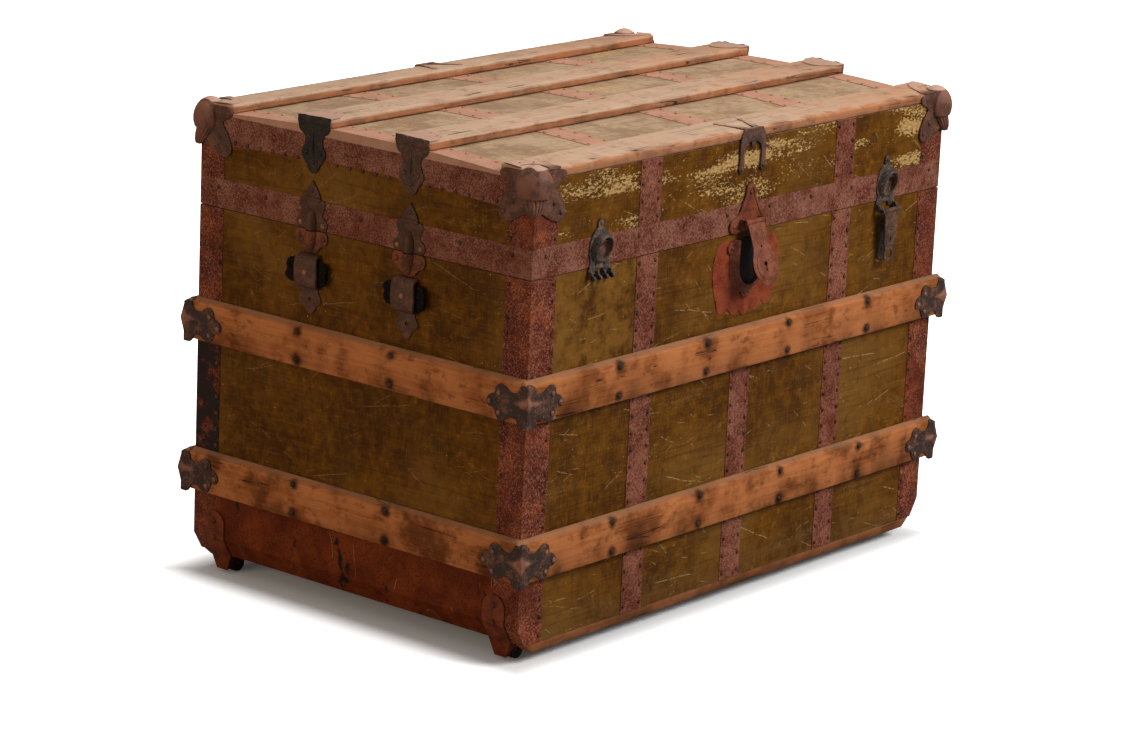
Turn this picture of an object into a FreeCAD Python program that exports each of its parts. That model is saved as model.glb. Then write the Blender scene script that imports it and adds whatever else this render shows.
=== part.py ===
import FreeCAD, Part
import os
import re
import Sketcher

# Slatted steamer trunk: a canvas-covered board box with sheet-metal bindings, wooden slats, cast corner
# fittings, end rollers, a hasp lock and a hinged, low-crowned lid.
#
# Frame: millimetres, +X along the trunk's length, the lock side faces -Y, +Z up. The origin is on the ground
# at the middle of the trunk. "left" is -X and "right" is +X.

doc = FreeCAD.newDocument("SlattedTrunk")
sheet = doc.addObject("Spreadsheet::Sheet", "Sizes")

SIZES = [
    # the box
    ("length", 864, "canvas to canvas along X"),
    ("depth", 564, "canvas to canvas along Y"),
    ("seam_height", 497, "ground to the upper edge of the body"),
    ("seam_gap", 1.2, "open joint between body and lid"),
    ("lid_side_height", 121, "lid's edge to the canvas at the front and back top edges"),
    ("lid_crown", 12, "rise of the lid's top above its front and back edges"),
    ("board", 9.5, "side and lid boards"),
    ("floor_board", 10, "bottom boards"),
    ("canvas", 1, "painted canvas"),
    ("lining", 0.6, "paper lining"),
    ("sheet_metal", 0.8, "bindings, bands and straps"),
    ("bevel_height", 25, "the ends draw in over this height at the bottom"),
    ("bevel_left", 0.5, "board left at the floor's upper face by that bevel"),
    # bindings, straps and bands
    ("binding_front_width", 46, "corner binding on the long sides"),
    ("binding_end_width", 41, "corner binding on the ends"),
    ("strap_width", 42, "vertical straps"),
    ("strap_from_end", 225, "end of the trunk to the middle of each outer strap"),
    ("rim_band_height", 38, "band around the lid's lower edge"),
    ("end_band_drop", 42, "end band, measured down the end"),
    ("end_band_top", 36, "end band, measured over the top"),
    ("apron_height", 95, "sheet-metal panel along the bottom of each end"),
    ("metal_gap", 0.3, "gap between sheets that lie edge to edge"),
    # wooden slats
    ("slat_height", 56, "body slats"),
    ("slat_thickness", 11, "body slats"),
    ("slat_bevel", 6, "sloped upper edge of the body slats"),
    ("slat_land", 3, "flat left beside the sloped edge"),
    ("lower_slat_top", 170, "ground to the top of the lower slats"),
    ("upper_slat_drop", 123, "seam to the top of the upper slats"),
    ("lid_slat_width", 56, "lid slats"),
    ("lid_slat_thickness", 12, "lid slats"),
    ("lid_slat_round", 3, "rounding of the lid slats' upper edges"),
    ("inner_slat_offset", 83, "middle of the trunk to the inner slats, dowels and handle loops"),
    ("runner_height", 13, "strip under the long sides"),
    ("runner_width", 18, "strip under the long sides"),
    ("runner_end_slope", 16, "slope cut on the runner's ends"),
    # cast corner fittings
    ("casting", 3, "wall of the cast and pressed fittings"),
    ("corner_wing", 60, "slat corner, along each slat"),
    ("corner_height", 43, "slat corner"),
    ("corner_lobe", 7, "radius of the scallops of a slat corner"),
    ("corner_column", 11, "half width of the upright part of a slat corner"),
    ("corner_boss", 11.5, "radius of the boss on a slat corner"),
    ("corner_boss_inset", 6, "faces of the slat to the middle of that boss"),
    ("bumper_wing", 55, "lid corner bumper, along each edge"),
    ("bumper_drop", 66, "lid corner bumper, down the corner"),
    ("bumper_ball", 25, "radius of the bumper's dome"),
    ("bumper_ball_inset", 13, "faces of the lid to the middle of the dome"),
    ("bumper_ball_drop", 19, "top of the slat to the middle of the dome"),
    ("bumper_lobe", 11, "radius of the bumper's lobes"),
    ("bumper_cover", 34, "length of slat under the bumper's top plate"),
    ("clamp_width", 56, "slat end clamp, across the slat"),
    ("clamp_cover", 34, "slat end clamp, along the slat"),
    ("clamp_leg_width", 41, "slat end clamp, down the end"),
    ("clamp_gap", 8.8, "tip of the dowel's plate to the clamp above it"),
    ("clamp_metal", 2.5, "wall of the clamps"),
    ("horseshoe_width", 56, "horseshoe clamp on the front and back slats"),
    ("horseshoe_leg", 10, "width of its legs and prongs"),
    ("horseshoe_drop", 56, "from the slat's top down the side"),
    ("horseshoe_reach", 46, "prongs, from the lid's edge over the slat"),
    # end rollers
    ("roller_radius", 11.5, "end rollers"),
    ("roller_length", 22, "end rollers"),
    ("roller_inset", 35, "end of the trunk to the roller's axle"),
    ("roller_from_side", 38, "long side to the middle of the roller"),
    ("roller_side_gap", 0.8, "roller to cheek"),
    ("roller_top_gap", 1.5, "roller to the bracket above it"),
    ("axle_radius", 3, "roller axle"),
    ("running_gap", 0.05, "radial clearance of pins and axles that turn"),
    ("bracket_width", 36, "roller bracket"),
    ("bracket_height", 90, "ground to the top of the bracket"),
    ("bracket_metal", 2.5, "roller bracket"),
    ("bracket_clearance", 5, "ground to the bracket's lower edge"),
    ("cheek_length", 30, "length of the cheeks that hold the axle"),
    # hinges
    ("hinge_width", 38, "hinge, along X"),
    ("hinge_leaf_height", 55, "each leaf"),
    ("hinge_leaf", 2, "leaf thickness"),
    ("barrel_radius", 4, "hinge barrel"),
    ("hinge_pin_radius", 2, "hinge pin"),
    ("hinge_stand_off", 0.4, "sheet metal to the hinge barrel"),
    ("knuckle_gap", 0.5, "between knuckles"),
    # lid dowels and handle loops on the ends
    ("dowel_radius", 8, "bullet-shaped dowel"),
    ("dowel_upper", 28, "dowel above the seam"),
    ("dowel_lower", 25, "dowel below the seam"),
    ("dowel_plate", 2, "dowel plates"),
    ("dowel_plate_width", 52, "dowel plates"),
    ("dowel_plate_rise", 64, "seam to the tip of the upper plate"),
    ("dowel_plate_fall", 28, "seam to the foot of the lower plate"),
    ("dowel_tongue", 3.5, "radius of the tongue that enters the lower dowel"),
    ("dowel_tongue_length", 6, "tongue below the seam"),
    ("dowel_tongue_gap", 1, "tongue to its socket"),
    ("loop_drop", 30, "seam to the top of the handle loop"),
    ("loop_height", 46, "handle loop"),
    ("loop_width", 38, "handle loop, along Y"),
    ("loop_wall", 3.5, "handle loop"),
    ("loop_gap", 13, "upper slat to the loop's tail plate"),
    ("leather", 5, "handle leather"),
    ("leather_height", 27, "handle leather"),
    ("leather_length", 68, "stub of leather left in the loop"),
    ("leather_gap", 0.6, "leather to the loop"),
    # hasp lock
    ("hasp_axis_rise", 14.8, "lid's edge to the hasp's hinge"),
    ("hasp_axis_out", 12, "canvas to the hasp's hinge"),
    ("hasp_ajar", 20, "how far the hasp stands open, in degrees"),
    ("hasp_metal", 2.5, "hasp"),
    ("hasp_width", 35, "hasp beside its hinge"),
    ("hasp_lobe_radius", 25, "round end of the hasp"),
    ("hasp_lobe_drop", 60, "hinge to the middle of the round end"),
    ("hasp_barrel_radius", 3.5, "hasp hinge"),
    ("hasp_pin_radius", 1.6, "hasp hinge pin"),
    ("keyhole_radius", 3, "keyhole"),
    ("keyhole_slot", 2.4, "keyhole slot's width"),
    ("keyhole_length", 9, "keyhole slot's length"),
    ("hasp_plate", 4.5, "lid plate of the hasp"),
    ("hasp_plate_recess", 2, "sunk middle of that plate"),
    ("hasp_eye_offset", 32, "middle to each lower rivet of that plate"),
    ("hasp_eye_radius", 10, "lobe around each lower rivet"),
    ("hasp_tip_rise", 39, "hinge to the upper rivet of that plate"),
    ("hasp_tip_radius", 10, "lobe around the upper rivet"),
    ("lock_box_radius", 17, "lock box behind the hasp"),
    ("lock_box_depth", 6.5, "lock box behind the hasp"),
    ("lock_bolt_cover", 2.6, "hasp to the bolt in the lock box"),
    ("lock_bolt_depth", 2.6, "bolt, front to back"),
    ("lock_bolt_width", 10, "bolt, top to bottom"),
    ("lock_bolt_inset", 2, "end of the bolt, inside the lock box's rim"),
    ("lock_bolt_travel", 11, "bolt's throw"),
    ("shell_plate", 1.5, "shell-shaped plate under the lock"),
    ("shell_radius", 66, "shell-shaped plate"),
    ("shell_gap", 9.5, "upper slat to the shell"),
    ("shell_top_drop", 7, "seam to the shell's straight upper edge"),
    ("shell_lobe", 11, "radius of the shell's scallops"),
    ("bowl_radius", 28, "raised bowl that takes the lock box"),
    ("bowl_wall", 3.5, "bowl"),
    ("bowl_out", 10, "canvas to the bowl's rim"),
    ("bowl_top_drop", 5, "seam to the top of the bowl"),
    ("bowl_rim", 1.2, "rim left outside the bolt's slot in the bowl"),
    ("bowl_ear", 9, "radius of the bowl's ears"),
    ("bowl_ear_offset", 33, "middle to each ear"),
    # draw-bolt latches
    ("latch_from_end", 127, "end of the trunk to the middle of each latch"),
    ("latch_width", 40, "latch plate"),
    ("latch_plate", 2, "latch plate"),
    ("latch_tip_rise", 62, "seam to the tip of the latch"),
    ("latch_hood_rise", 22, "seam to the middle of the hood"),
    ("latch_hood_radius", 18, "hood, beside the plate"),
    ("latch_hood_mouth", 14.5, "hood, at its mouth"),
    ("latch_hood_bore", 11.5, "opening of the hood"),
    ("latch_hood_out", 15, "canvas to the mouth of the hood"),
    ("latch_foot_drop", 8, "seam to the lower edge of the latch plate"),
    ("lever_axis_drop", 12, "seam to the lever's hinge"),
    ("lever_axis_out", 13, "canvas to the lever's hinge"),
    ("lever_width", 34, "lever beside its hinge"),
    ("lever_foot_width", 26, "lever at its foot"),
    ("lever_length", 70, "hinge to the lever's foot"),
    ("lever_metal", 2.5, "lever"),
    ("lever_step", 40, "hinge to the step of the lever"),
    ("lever_cross", 9, "cross cut in the lever, from end to end"),
    ("lever_cross_slot", 3, "width of that cross's slots"),
    ("lever_window_low", 8, "lever's foot to its window"),
    ("lever_window_high", 20, "lever's foot to the top of its window"),
    ("lever_barrel_radius", 3.5, "lever hinge"),
    ("lever_pin_radius", 1.6, "lever hinge pin"),
    ("catch_width", 18, "catch under the lever"),
    ("catch_plate", 2, "catch under the lever"),
    ("catch_drop", 29, "seam to the top of the catch"),
    ("catch_length", 44, "catch, from its top to the middle of its round foot"),
]
for row, (alias, value, meaning) in enumerate(SIZES, start=1):
    sheet.set(f"A{row}", meaning)
    sheet.set(f"B{row}", str(value))
    sheet.setAlias(f"B{row}", alias)
doc.recompute()

# Lengths that follow from the driving sizes.
DERIVED = {
    "half_length": "(length / 2)",
    "half_depth": "(depth / 2)",
    "board_x": "(length / 2 - canvas)",
    "board_y": "(depth / 2 - canvas)",
    "inside_x": "(length / 2 - canvas - board)",
    "inside_y": "(depth / 2 - canvas - board)",
    "metal_x": "(length / 2 + sheet_metal)",
    "metal_y": "(depth / 2 + sheet_metal)",
    "panel_bottom": "(2 * roller_radius + roller_top_gap + bracket_metal)",
    "bevel_inset": "((board - bevel_left) * bevel_height / (bevel_height - floor_board))",
    "floor_top": "(panel_bottom + floor_board)",
    "lid_bottom": "(seam_height + seam_gap)",
    "lid_edge": "(seam_height + seam_gap + lid_side_height)",
    "lid_top": "(seam_height + seam_gap + lid_side_height + lid_crown)",
    "band_top": "(seam_height + seam_gap + rim_band_height)",
    "crown_radius": "(((depth / 2) ^ 2 + lid_crown ^ 2) / (2 * lid_crown))",
    "crown_centre": "(lid_top - crown_radius)",
    "slat_top": "(lid_top + sheet_metal + lid_slat_thickness)",
    "edge_slat_top": "(lid_edge + sheet_metal + lid_slat_thickness)",
    "edge_slat_inner": "(half_depth - lid_slat_width)",
    "slat_out_x": "(metal_x + slat_thickness)",
    "slat_out_y": "(metal_y + slat_thickness)",
    "strap_spacing": "(length / 2 - strap_from_end)",
    "latch_offset": "(length / 2 - latch_from_end)",
    "upper_slat_top": "(seam_height - upper_slat_drop)",
    "loop_top": "(seam_height - loop_drop)",
    "loop_tail": "(loop_top - loop_height - upper_slat_top - loop_gap)",
    "hinge_axis_y": "(metal_y + hinge_stand_off + barrel_radius)",
    "hinge_axis_z": "(seam_height + seam_gap / 2)",
    "bracket_y": "(half_depth - roller_from_side)",
    "roller_x": "(half_length - roller_inset)",
    "clamp_low": "(lid_bottom + dowel_plate_rise + clamp_gap)",
    "bumper_low": "(edge_slat_top - bumper_drop)",
    "hasp_axis_height": "(lid_bottom + hasp_axis_rise)",
    "shell_height": "(upper_slat_top + shell_gap + shell_radius + shell_lobe / 2)",
    "shell_top": "(seam_height - shell_top_drop)",
    "bowl_top": "(seam_height - bowl_top_drop)",
    "latch_tip": "(seam_height + latch_tip_rise)",
    "latch_hood_height": "(seam_height + latch_hood_rise)",
    "latch_foot": "(seam_height - latch_foot_drop)",
    "lever_axis_height": "(seam_height - lever_axis_drop)",
    "catch_top": "(seam_height - catch_drop)",
    "catch_bottom": "(catch_top - catch_length)",
    "hasp_axis_y": "(-(half_depth + hasp_axis_out))",
    "lever_axis_y": "(-(half_depth + lever_axis_out))",
}
ALIASES = {alias for alias, _, _ in SIZES}
subparts = []


def ex(text):
    """Turns a formula of size names into one that FreeCAD's expressions can read."""
    text = str(text)
    while any(re.search(rf"\b{name}\b", text) for name in DERIVED):
        for name, formula in DERIVED.items():
            text = re.sub(rf"\b{name}\b", formula, text)
    return re.sub(r"\b[a-z_]+\b", lambda word: f"Sizes.{word[0]}" if word[0] in ALIASES else word[0], text)


def number(text):
    """The present value of a formula."""
    return float(sheet.evalExpression(ex(text)))


def box(name, x, y, z):
    """A block between two planes along each axis."""
    block = doc.addObject("Part::Box", name)
    for size, axis, (low, high) in (("Length", "x", x), ("Width", "y", y), ("Height", "z", z)):
        block.setExpression(size, ex(f"({high}) - ({low})"))
        block.setExpression(f"Placement.Base.{axis}", ex(low))
    return block


TURNS = {
    "x": FreeCAD.Rotation(FreeCAD.Vector(0, 0, 1), FreeCAD.Vector(1, 0, 0)),
    "y": FreeCAD.Rotation(FreeCAD.Vector(0, 0, 1), FreeCAD.Vector(0, 1, 0)),
    "z": FreeCAD.Rotation(),
}


def along(solid, axis, centre, low):
    """Stands a round solid on low, along an axis, through a centre given in the two other axes."""
    solid.Placement = FreeCAD.Placement(FreeCAD.Vector(), TURNS[axis])
    others = [other for other in "xyz" if other != axis]
    for other, place in zip(others, centre):
        solid.setExpression(f"Placement.Base.{other}", ex(place))
    solid.setExpression(f"Placement.Base.{axis}", ex(low))
    return solid


def rod(name, axis, centre, radius, low, high):
    """A cylinder along an axis, from low to high."""
    solid = doc.addObject("Part::Cylinder", name)
    solid.setExpression("Radius", ex(radius))
    solid.setExpression("Height", ex(f"({high}) - ({low})"))
    return along(solid, axis, centre, low)


def cone(name, axis, centre, low_radius, high_radius, low, high):
    """A cone along an axis, from low to high."""
    solid = doc.addObject("Part::Cone", name)
    solid.setExpression("Radius1", ex(low_radius))
    solid.setExpression("Radius2", ex(high_radius))
    solid.setExpression("Height", ex(f"({high}) - ({low})"))
    return along(solid, axis, centre, low)


def ball(name, centre, radius):
    """A sphere."""
    solid = doc.addObject("Part::Sphere", name)
    solid.setExpression("Radius", ex(radius))
    for axis, place in zip("xyz", centre):
        solid.setExpression(f"Placement.Base.{axis}", ex(place))
    return solid


def plate(name, plane, corners, low, high):
    """A pad of a straight-sided outline in the XY, XZ or YZ plane, from low to high along the third axis."""
    body = doc.addObject("PartDesign::Body", name)
    sketch = body.newObject("Sketcher::SketchObject", f"{name}_outline")
    support = next(f for f in body.Origin.OriginFeatures if f.Role == f"{plane}_Plane")
    sketch.AttachmentSupport = [(support, "")]
    sketch.MapMode = "FlatFace"
    # the XZ plane faces -Y, so its pad starts at the higher Y
    sketch.setExpression("AttachmentOffset.Base.z", ex(f"-({high})" if plane == "XZ" else low))
    points = [FreeCAD.Vector(number(u), number(v), 0) for u, v in corners]
    for i, point in enumerate(points):
        sketch.addGeometry(Part.LineSegment(point, points[(i + 1) % len(points)]), False)
    for i, (u, v) in enumerate(corners):
        sketch.addConstraint(Sketcher.Constraint("Coincident", i, 2, (i + 1) % len(corners), 1))
        for kind, place, at in (("DistanceX", u, points[i].x), ("DistanceY", v, points[i].y)):
            index = sketch.addConstraint(Sketcher.Constraint(kind, -1, 1, i, 1, at))
            sketch.renameConstraint(index, f"{kind}{i}")
            sketch.setExpression(f"Constraints.{kind}{i}", ex(place))
    pad = body.newObject("PartDesign::Pad", f"{name}_pad")
    pad.Profile = sketch
    pad.setExpression("Length", ex(f"({high}) - ({low})"))
    body.Tip = pad
    return body


def cut(name, base, *tools):
    """Base without the tools."""
    feature = doc.addObject("Part::Cut", name)
    feature.Base = base
    feature.Tool = tools[0] if len(tools) == 1 else fuse(f"{name}_tools", *tools)
    return feature


def fuse(name, *pieces):
    """One solid out of several that overlap."""
    feature = doc.addObject("Part::MultiFuse", name)
    feature.Shapes = list(pieces)
    feature.Refine = True
    return feature


def common(name, *pieces):
    """What the pieces share."""
    feature = doc.addObject("Part::MultiCommon", name)
    feature.Shapes = list(pieces)
    return feature


def group(name, *pieces):
    """Several separate solids of one kind."""
    feature = doc.addObject("Part::Compound", name)
    feature.Links = list(pieces)
    return feature


def mirror(name, source, axis):
    """The mirror image across the middle of the trunk, along an axis."""
    feature = doc.addObject("Part::Mirroring", name)
    feature.Source = source
    feature.Normal = FreeCAD.Vector(*(float(axis == other) for other in "xyz"))
    return feature


def across(middle, width):
    """The two sides of a width about a middle."""
    return (f"({middle}) - ({width}) / 2", f"({middle}) + ({width}) / 2")


def subpart(label, feature):
    """Marks a feature as a piece of the trunk."""
    feature.Label = label
    subparts.append(feature)
    return feature


# ---------------------------------------------------------------- body: boards, canvas and lining

BEVEL_TOP = "panel_bottom + bevel_height"


def body_prism(name, inset):
    """The body's outer shape, drawn in by an inset: upright ends that slope inwards at the bottom."""
    side = f"(half_length - ({inset}))"
    foot = f"({side} - bevel_inset)"
    outline = [
        (f"-{side}", "seam_height"),
        (f"-{side}", BEVEL_TOP),
        (f"-{foot}", "panel_bottom"),
        (foot, "panel_bottom"),
        (side, BEVEL_TOP),
        (side, "seam_height"),
    ]
    return plate(name, "XZ", outline, f"-(half_depth - ({inset}))", f"half_depth - ({inset})")


metal_prism = body_prism("body_metal_prism", "-sheet_metal")
canvas_prism = body_prism("body_canvas_prism", "0")
board_prism = body_prism("body_board_prism", "canvas")
body_skin = cut("body_skin", metal_prism, canvas_prism)
BODY_Z = ("panel_bottom", "seam_height")

front_blank = box("front_board_blank", ("-board_x", "board_x"), ("-board_y", "-inside_y"), BODY_Z)
front_board = subpart("front_board", common("front_board", board_prism, front_blank))
subpart("back_board", mirror("back_board", front_board, "y"))

end_blank = box("end_board_blank", ("-board_x", "-inside_x"), ("-inside_y", "inside_y"), BODY_Z)
left_end_board = subpart("left_end_board", common("left_end_board", board_prism, end_blank))
subpart("right_end_board", mirror("right_end_board", left_end_board, "x"))

floor_blank = box(
    "floor_board_blank", ("-inside_x", "inside_x"), ("-inside_y", "inside_y"), ("panel_bottom", "floor_top")
)
subpart("floor_board", common("floor_board", board_prism, floor_blank))

subpart("body_canvas", cut("body_canvas", canvas_prism, board_prism))

lining_outer = box(
    "body_lining_outer", ("-inside_x", "inside_x"), ("-inside_y", "inside_y"), ("floor_top", "seam_height")
)
lining_inner = box(
    "body_lining_inner",
    ("-inside_x + lining", "inside_x - lining"),
    ("-inside_y + lining", "inside_y - lining"),
    ("floor_top + lining", "seam_height"),
)
subpart("body_lining", cut("body_lining", lining_outer, lining_inner))

# ---------------------------------------------------------------- body: bindings, aprons and straps


def at_corners(name, front_left):
    """A front left piece and its mirror images at the three other corners."""
    front_right = mirror(f"{name}_front_right", front_left, "x")
    back_left = mirror(f"{name}_back_left", front_left, "y")
    back_right = mirror(f"{name}_back_right", front_right, "y")
    return [front_left, front_right, back_left, back_right]


def four_corners(name, front_left):
    """A sub-part of four like pieces, one at each corner."""
    return subpart(name, group(name, *at_corners(name, front_left)))


BINDING_X = ("-metal_x", "-(half_length - binding_front_width)")
BINDING_Y = ("-metal_y", "-(half_depth - binding_end_width)")
binding_zone = box("body_binding_zone", BINDING_X, BINDING_Y, BODY_Z)
four_corners("body_corner_bindings", common("body_corner_binding", body_skin, binding_zone))

apron_side = "(half_depth - binding_end_width - metal_gap)"
apron_zone = box(
    "apron_zone",
    ("-metal_x", "-(half_length - bevel_inset)"),
    (f"-{apron_side}", apron_side),
    ("panel_bottom", "panel_bottom + apron_height"),
)
left_apron = common("left_apron", body_skin, apron_zone)
subpart("end_aprons", group("end_aprons", left_apron, mirror("right_apron", left_apron, "x")))


STRAPS = (("left", "-strap_spacing"), ("middle", "0"), ("right", "strap_spacing"))
body_straps = []
for side, place in STRAPS:
    # the lock covers the middle of the front, so the middle strap stops under the upper slat there
    front_top = "upper_slat_top" if side == "middle" else "seam_height"
    front_y = ("-metal_y", "-half_depth")
    back_y = ("half_depth", "metal_y")
    strap_x = across(place, "strap_width")
    body_straps.append(box(f"front_{side}_strap", strap_x, front_y, ("panel_bottom", front_top)))
    body_straps.append(box(f"back_{side}_strap", strap_x, back_y, BODY_Z))
subpart("body_straps", group("body_straps", *body_straps))

# ---------------------------------------------------------------- body: wooden slats and runners


def slat_profile(inner, top):
    """The section of a body slat: inner is the plane it lies on, and it stands out to the negative side."""
    outer = f"({inner}) - slat_thickness"
    return [
        (inner, f"{top} - slat_height"),
        (outer, f"{top} - slat_height"),
        (outer, f"{top} - slat_bevel"),
        (f"({inner}) - slat_land", top),
        (inner, top),
    ]


for level in ("lower", "upper"):
    top = f"{level}_slat_top"
    front = plate(f"{level}_front_slat", "YZ", slat_profile("-metal_y", top), "-slat_out_x", "slat_out_x")
    left = plate(f"{level}_left_slat", "XZ", slat_profile("-metal_x", top), "-metal_y", "metal_y")
    subpart(f"{level}_front_slat", front)
    subpart(f"{level}_back_slat", mirror(f"{level}_back_slat", front, "y"))
    subpart(f"{level}_left_slat", left)
    subpart(f"{level}_right_slat", mirror(f"{level}_right_slat", left, "x"))

runner_top_x = "(half_length - bevel_inset)"
runner_low_x = "(half_length - bevel_inset - runner_end_slope)"
runner_outline = [
    (f"-{runner_top_x}", "panel_bottom"),
    (f"-{runner_low_x}", "panel_bottom - runner_height"),
    (runner_low_x, "panel_bottom - runner_height"),
    (runner_top_x, "panel_bottom"),
]
front_runner = plate("front_runner", "XZ", runner_outline, "-half_depth", "-half_depth + runner_width")
subpart("bottom_runners", group("bottom_runners", front_runner, mirror("back_runner", front_runner, "y")))

# ---------------------------------------------------------------- body: slat corner castings


def slat_corner(name, top):
    """A scalloped angle over the front left corner of a slat belt, with a boss on the corner."""
    middle = f"({top} - slat_height / 2)"
    face_y = ("-(slat_out_y + casting)", "-slat_out_y")
    face_x = ("-(slat_out_x + casting)", "-slat_out_x")
    wing = "(corner_wing - corner_lobe)"
    half_height = "(corner_height / 2 - corner_lobe)"
    boss_at = ("-slat_out_x + corner_boss_inset", "-slat_out_y + corner_boss_inset", middle)
    pieces = [ball(f"{name}_boss", boss_at, "corner_boss")]
    band = (f"{middle} - {half_height}", f"{middle} + {half_height}")
    neck = (f"{middle} - corner_lobe", f"{middle} + corner_lobe")
    upright = "(corner_wing - 2.5 * corner_lobe)"
    column = (f"{top} - slat_height + sheet_metal", f"{top} - slat_bevel")
    for side, face in (("front", "y"), ("end", "x")):
        face_span = face_y if face == "y" else face_x
        corner = "-slat_out_x" if face == "y" else "-slat_out_y"
        for part, reach, height in (
            ("band", upright, band),
            ("neck", wing, neck),
            ("column", "corner_column", column),
        ):
            x = (face_x[0], f"-slat_out_x + {reach}") if face == "y" else face_x
            y = (face_y[0], f"-slat_out_y + {reach}") if face == "x" else face_y
            pieces.append(box(f"{name}_{side}_{part}", x, y, height))
        outer = (f"{corner} + {wing}", middle)
        pieces.append(rod(f"{name}_{side}_outer_lobe", face, outer, "corner_lobe", *face_span))
        for lobe, rise in (("upper", half_height), ("lower", f"-{half_height}")):
            centre = (f"{corner} + {upright}", f"{middle} + {rise}")
            pieces.append(rod(f"{name}_{side}_{lobe}_lobe", face, centre, "0.9 * corner_lobe", *face_span))
    wood = box(
        f"{name}_wood",
        ("-slat_out_x", "-slat_out_x + 2 * corner_wing"),
        ("-slat_out_y", "-slat_out_y + 2 * corner_wing"),
        (f"{top} - 2 * slat_height", f"{top} + slat_height"),
    )
    return cut(name, fuse(f"{name}_blank", *pieces), wood)


slat_corners = []
for level in ("lower", "upper"):
    front_left = slat_corner(f"{level}_slat_corner", f"{level}_slat_top")
    slat_corners += at_corners(f"{level}_slat_corners", front_left)
subpart("slat_corners", group("slat_corners", *slat_corners))

# ---------------------------------------------------------------- body: end rollers

bracket_out = "(metal_x + bracket_metal)"
bracket_span = across("-bracket_y", "bracket_width")
bracket_shoulder = "(bracket_height - bracket_width / 2)"
lean = "(bevel_inset + bracket_metal)"
strap_outline = [
    ("-metal_x", bracket_shoulder),
    (f"-{bracket_out}", bracket_shoulder),
    (f"-{bracket_out}", BEVEL_TOP),
    (f"-{bracket_out} + bevel_inset", "panel_bottom"),
    (f"-{bracket_out} + {lean}", "bracket_clearance"),
    (f"-metal_x + {lean}", "bracket_clearance"),
    ("-metal_x + bevel_inset", "panel_bottom"),
    ("-metal_x", BEVEL_TOP),
]
cheek_x = ("-(half_length - bevel_inset)", "-(half_length - bevel_inset) + cheek_length")
cheek_in = "(roller_length / 2 + roller_side_gap)"
axle_place = ("-roller_x", "roller_radius")
cheek_out = f"({cheek_in} + bracket_metal)"
cheek_z = ("bracket_clearance", "panel_bottom")
bracket_face = (f"-{bracket_out}", "-metal_x")
bracket_blank = fuse(
    "roller_bracket_blank",
    plate("bracket_strap", "XZ", strap_outline, *bracket_span),
    rod("bracket_top", "x", ("-bracket_y", bracket_shoulder), "bracket_width / 2", *bracket_face),
    box("bracket_base", cheek_x, bracket_span, ("panel_bottom - bracket_metal", "panel_bottom")),
    box("bracket_outer_cheek", cheek_x, (f"-bracket_y - {cheek_out}", f"-bracket_y - {cheek_in}"), cheek_z),
    box("bracket_inner_cheek", cheek_x, (f"-bracket_y + {cheek_in}", f"-bracket_y + {cheek_out}"), cheek_z),
)
axle_bore = rod("axle_bore", "y", axle_place, "axle_radius + running_gap", *bracket_span)
four_corners("roller_brackets", cut("roller_bracket", bracket_blank, axle_bore))

axle_span = (f"-bracket_y - {cheek_out}", f"-bracket_y + {cheek_out}")
axle = rod("roller_axle", "y", axle_place, "axle_radius", *axle_span)
four_corners("roller_axles", axle)

roller_span = across("-bracket_y", "roller_length")
roller = cut(
    "front_left_roller",
    rod("roller_blank", "y", axle_place, "roller_radius", *roller_span),
    rod("roller_bore", "y", axle_place, "axle_radius + running_gap", *roller_span),
)
subpart("front_left_roller", roller)
front_right_roller = subpart("front_right_roller", mirror("front_right_roller", roller, "x"))
subpart("back_left_roller", mirror("back_left_roller", roller, "y"))
subpart("back_right_roller", mirror("back_right_roller", front_right_roller, "y"))

# ---------------------------------------------------------------- ends: lid dowels and handle loops


def dowel_x(out):
    """A span that starts on the sheet metal of the left end and stands out from it."""
    return (f"-(metal_x + {out})", "-metal_x")


def mirrored_outline(half):
    """A closed outline from the points of its positive side: a middle, a half width and a height each."""
    right = [(f"{middle} + ({width})", height) for middle, width, height in half]
    left = [(f"{middle} - ({width})", height) for middle, width, height in reversed(half) if width != "0"]
    return right + left


def upper_dowel(name, middle):
    """The lid's half of a dowel: a pointed plate, half a bullet and a tongue under it."""
    wide = "dowel_plate_width"
    rise = "dowel_plate_rise"
    outline = mirrored_outline([
        (middle, f"0.46 * {wide}", "lid_bottom"),
        (middle, f"0.50 * {wide}", f"lid_bottom + 0.14 * {rise}"),
        (middle, f"0.34 * {wide}", f"lid_bottom + 0.30 * {rise}"),
        (middle, f"0.42 * {wide}", f"lid_bottom + 0.46 * {rise}"),
        (middle, f"0.42 * {wide}", f"lid_bottom + 0.60 * {rise}"),
        (middle, f"0.27 * {wide}", f"lid_bottom + 0.66 * {rise}"),
        (middle, "0", f"lid_bottom + {rise}"),
    ])
    axis = "-(metal_x + dowel_plate)"
    round_top = "(lid_bottom + dowel_upper - dowel_radius)"
    bullet = fuse(
        f"{name}_bullet",
        rod(f"{name}_shaft", "z", (axis, middle), "dowel_radius", "lid_bottom", round_top),
        ball(f"{name}_nose", (axis, middle, round_top), "dowel_radius"),
    )
    behind = box(
        f"{name}_behind",
        ("-metal_x", "-half_length + dowel_radius"),
        (f"{middle} - dowel_radius", f"{middle} + dowel_radius"),
        ("lid_bottom - dowel_radius", "lid_bottom + dowel_upper"),
    )
    tongue_axis = (f"{axis} - dowel_radius / 4", middle)
    tongue_z = ("seam_height - dowel_tongue_length", "lid_bottom + dowel_tongue")
    tongue = rod(f"{name}_tongue", "z", tongue_axis, "dowel_tongue", *tongue_z)
    face = plate(f"{name}_plate", "YZ", outline, *dowel_x("dowel_plate"))
    return cut(name, fuse(f"{name}_blank", face, bullet, tongue), behind)


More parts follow.
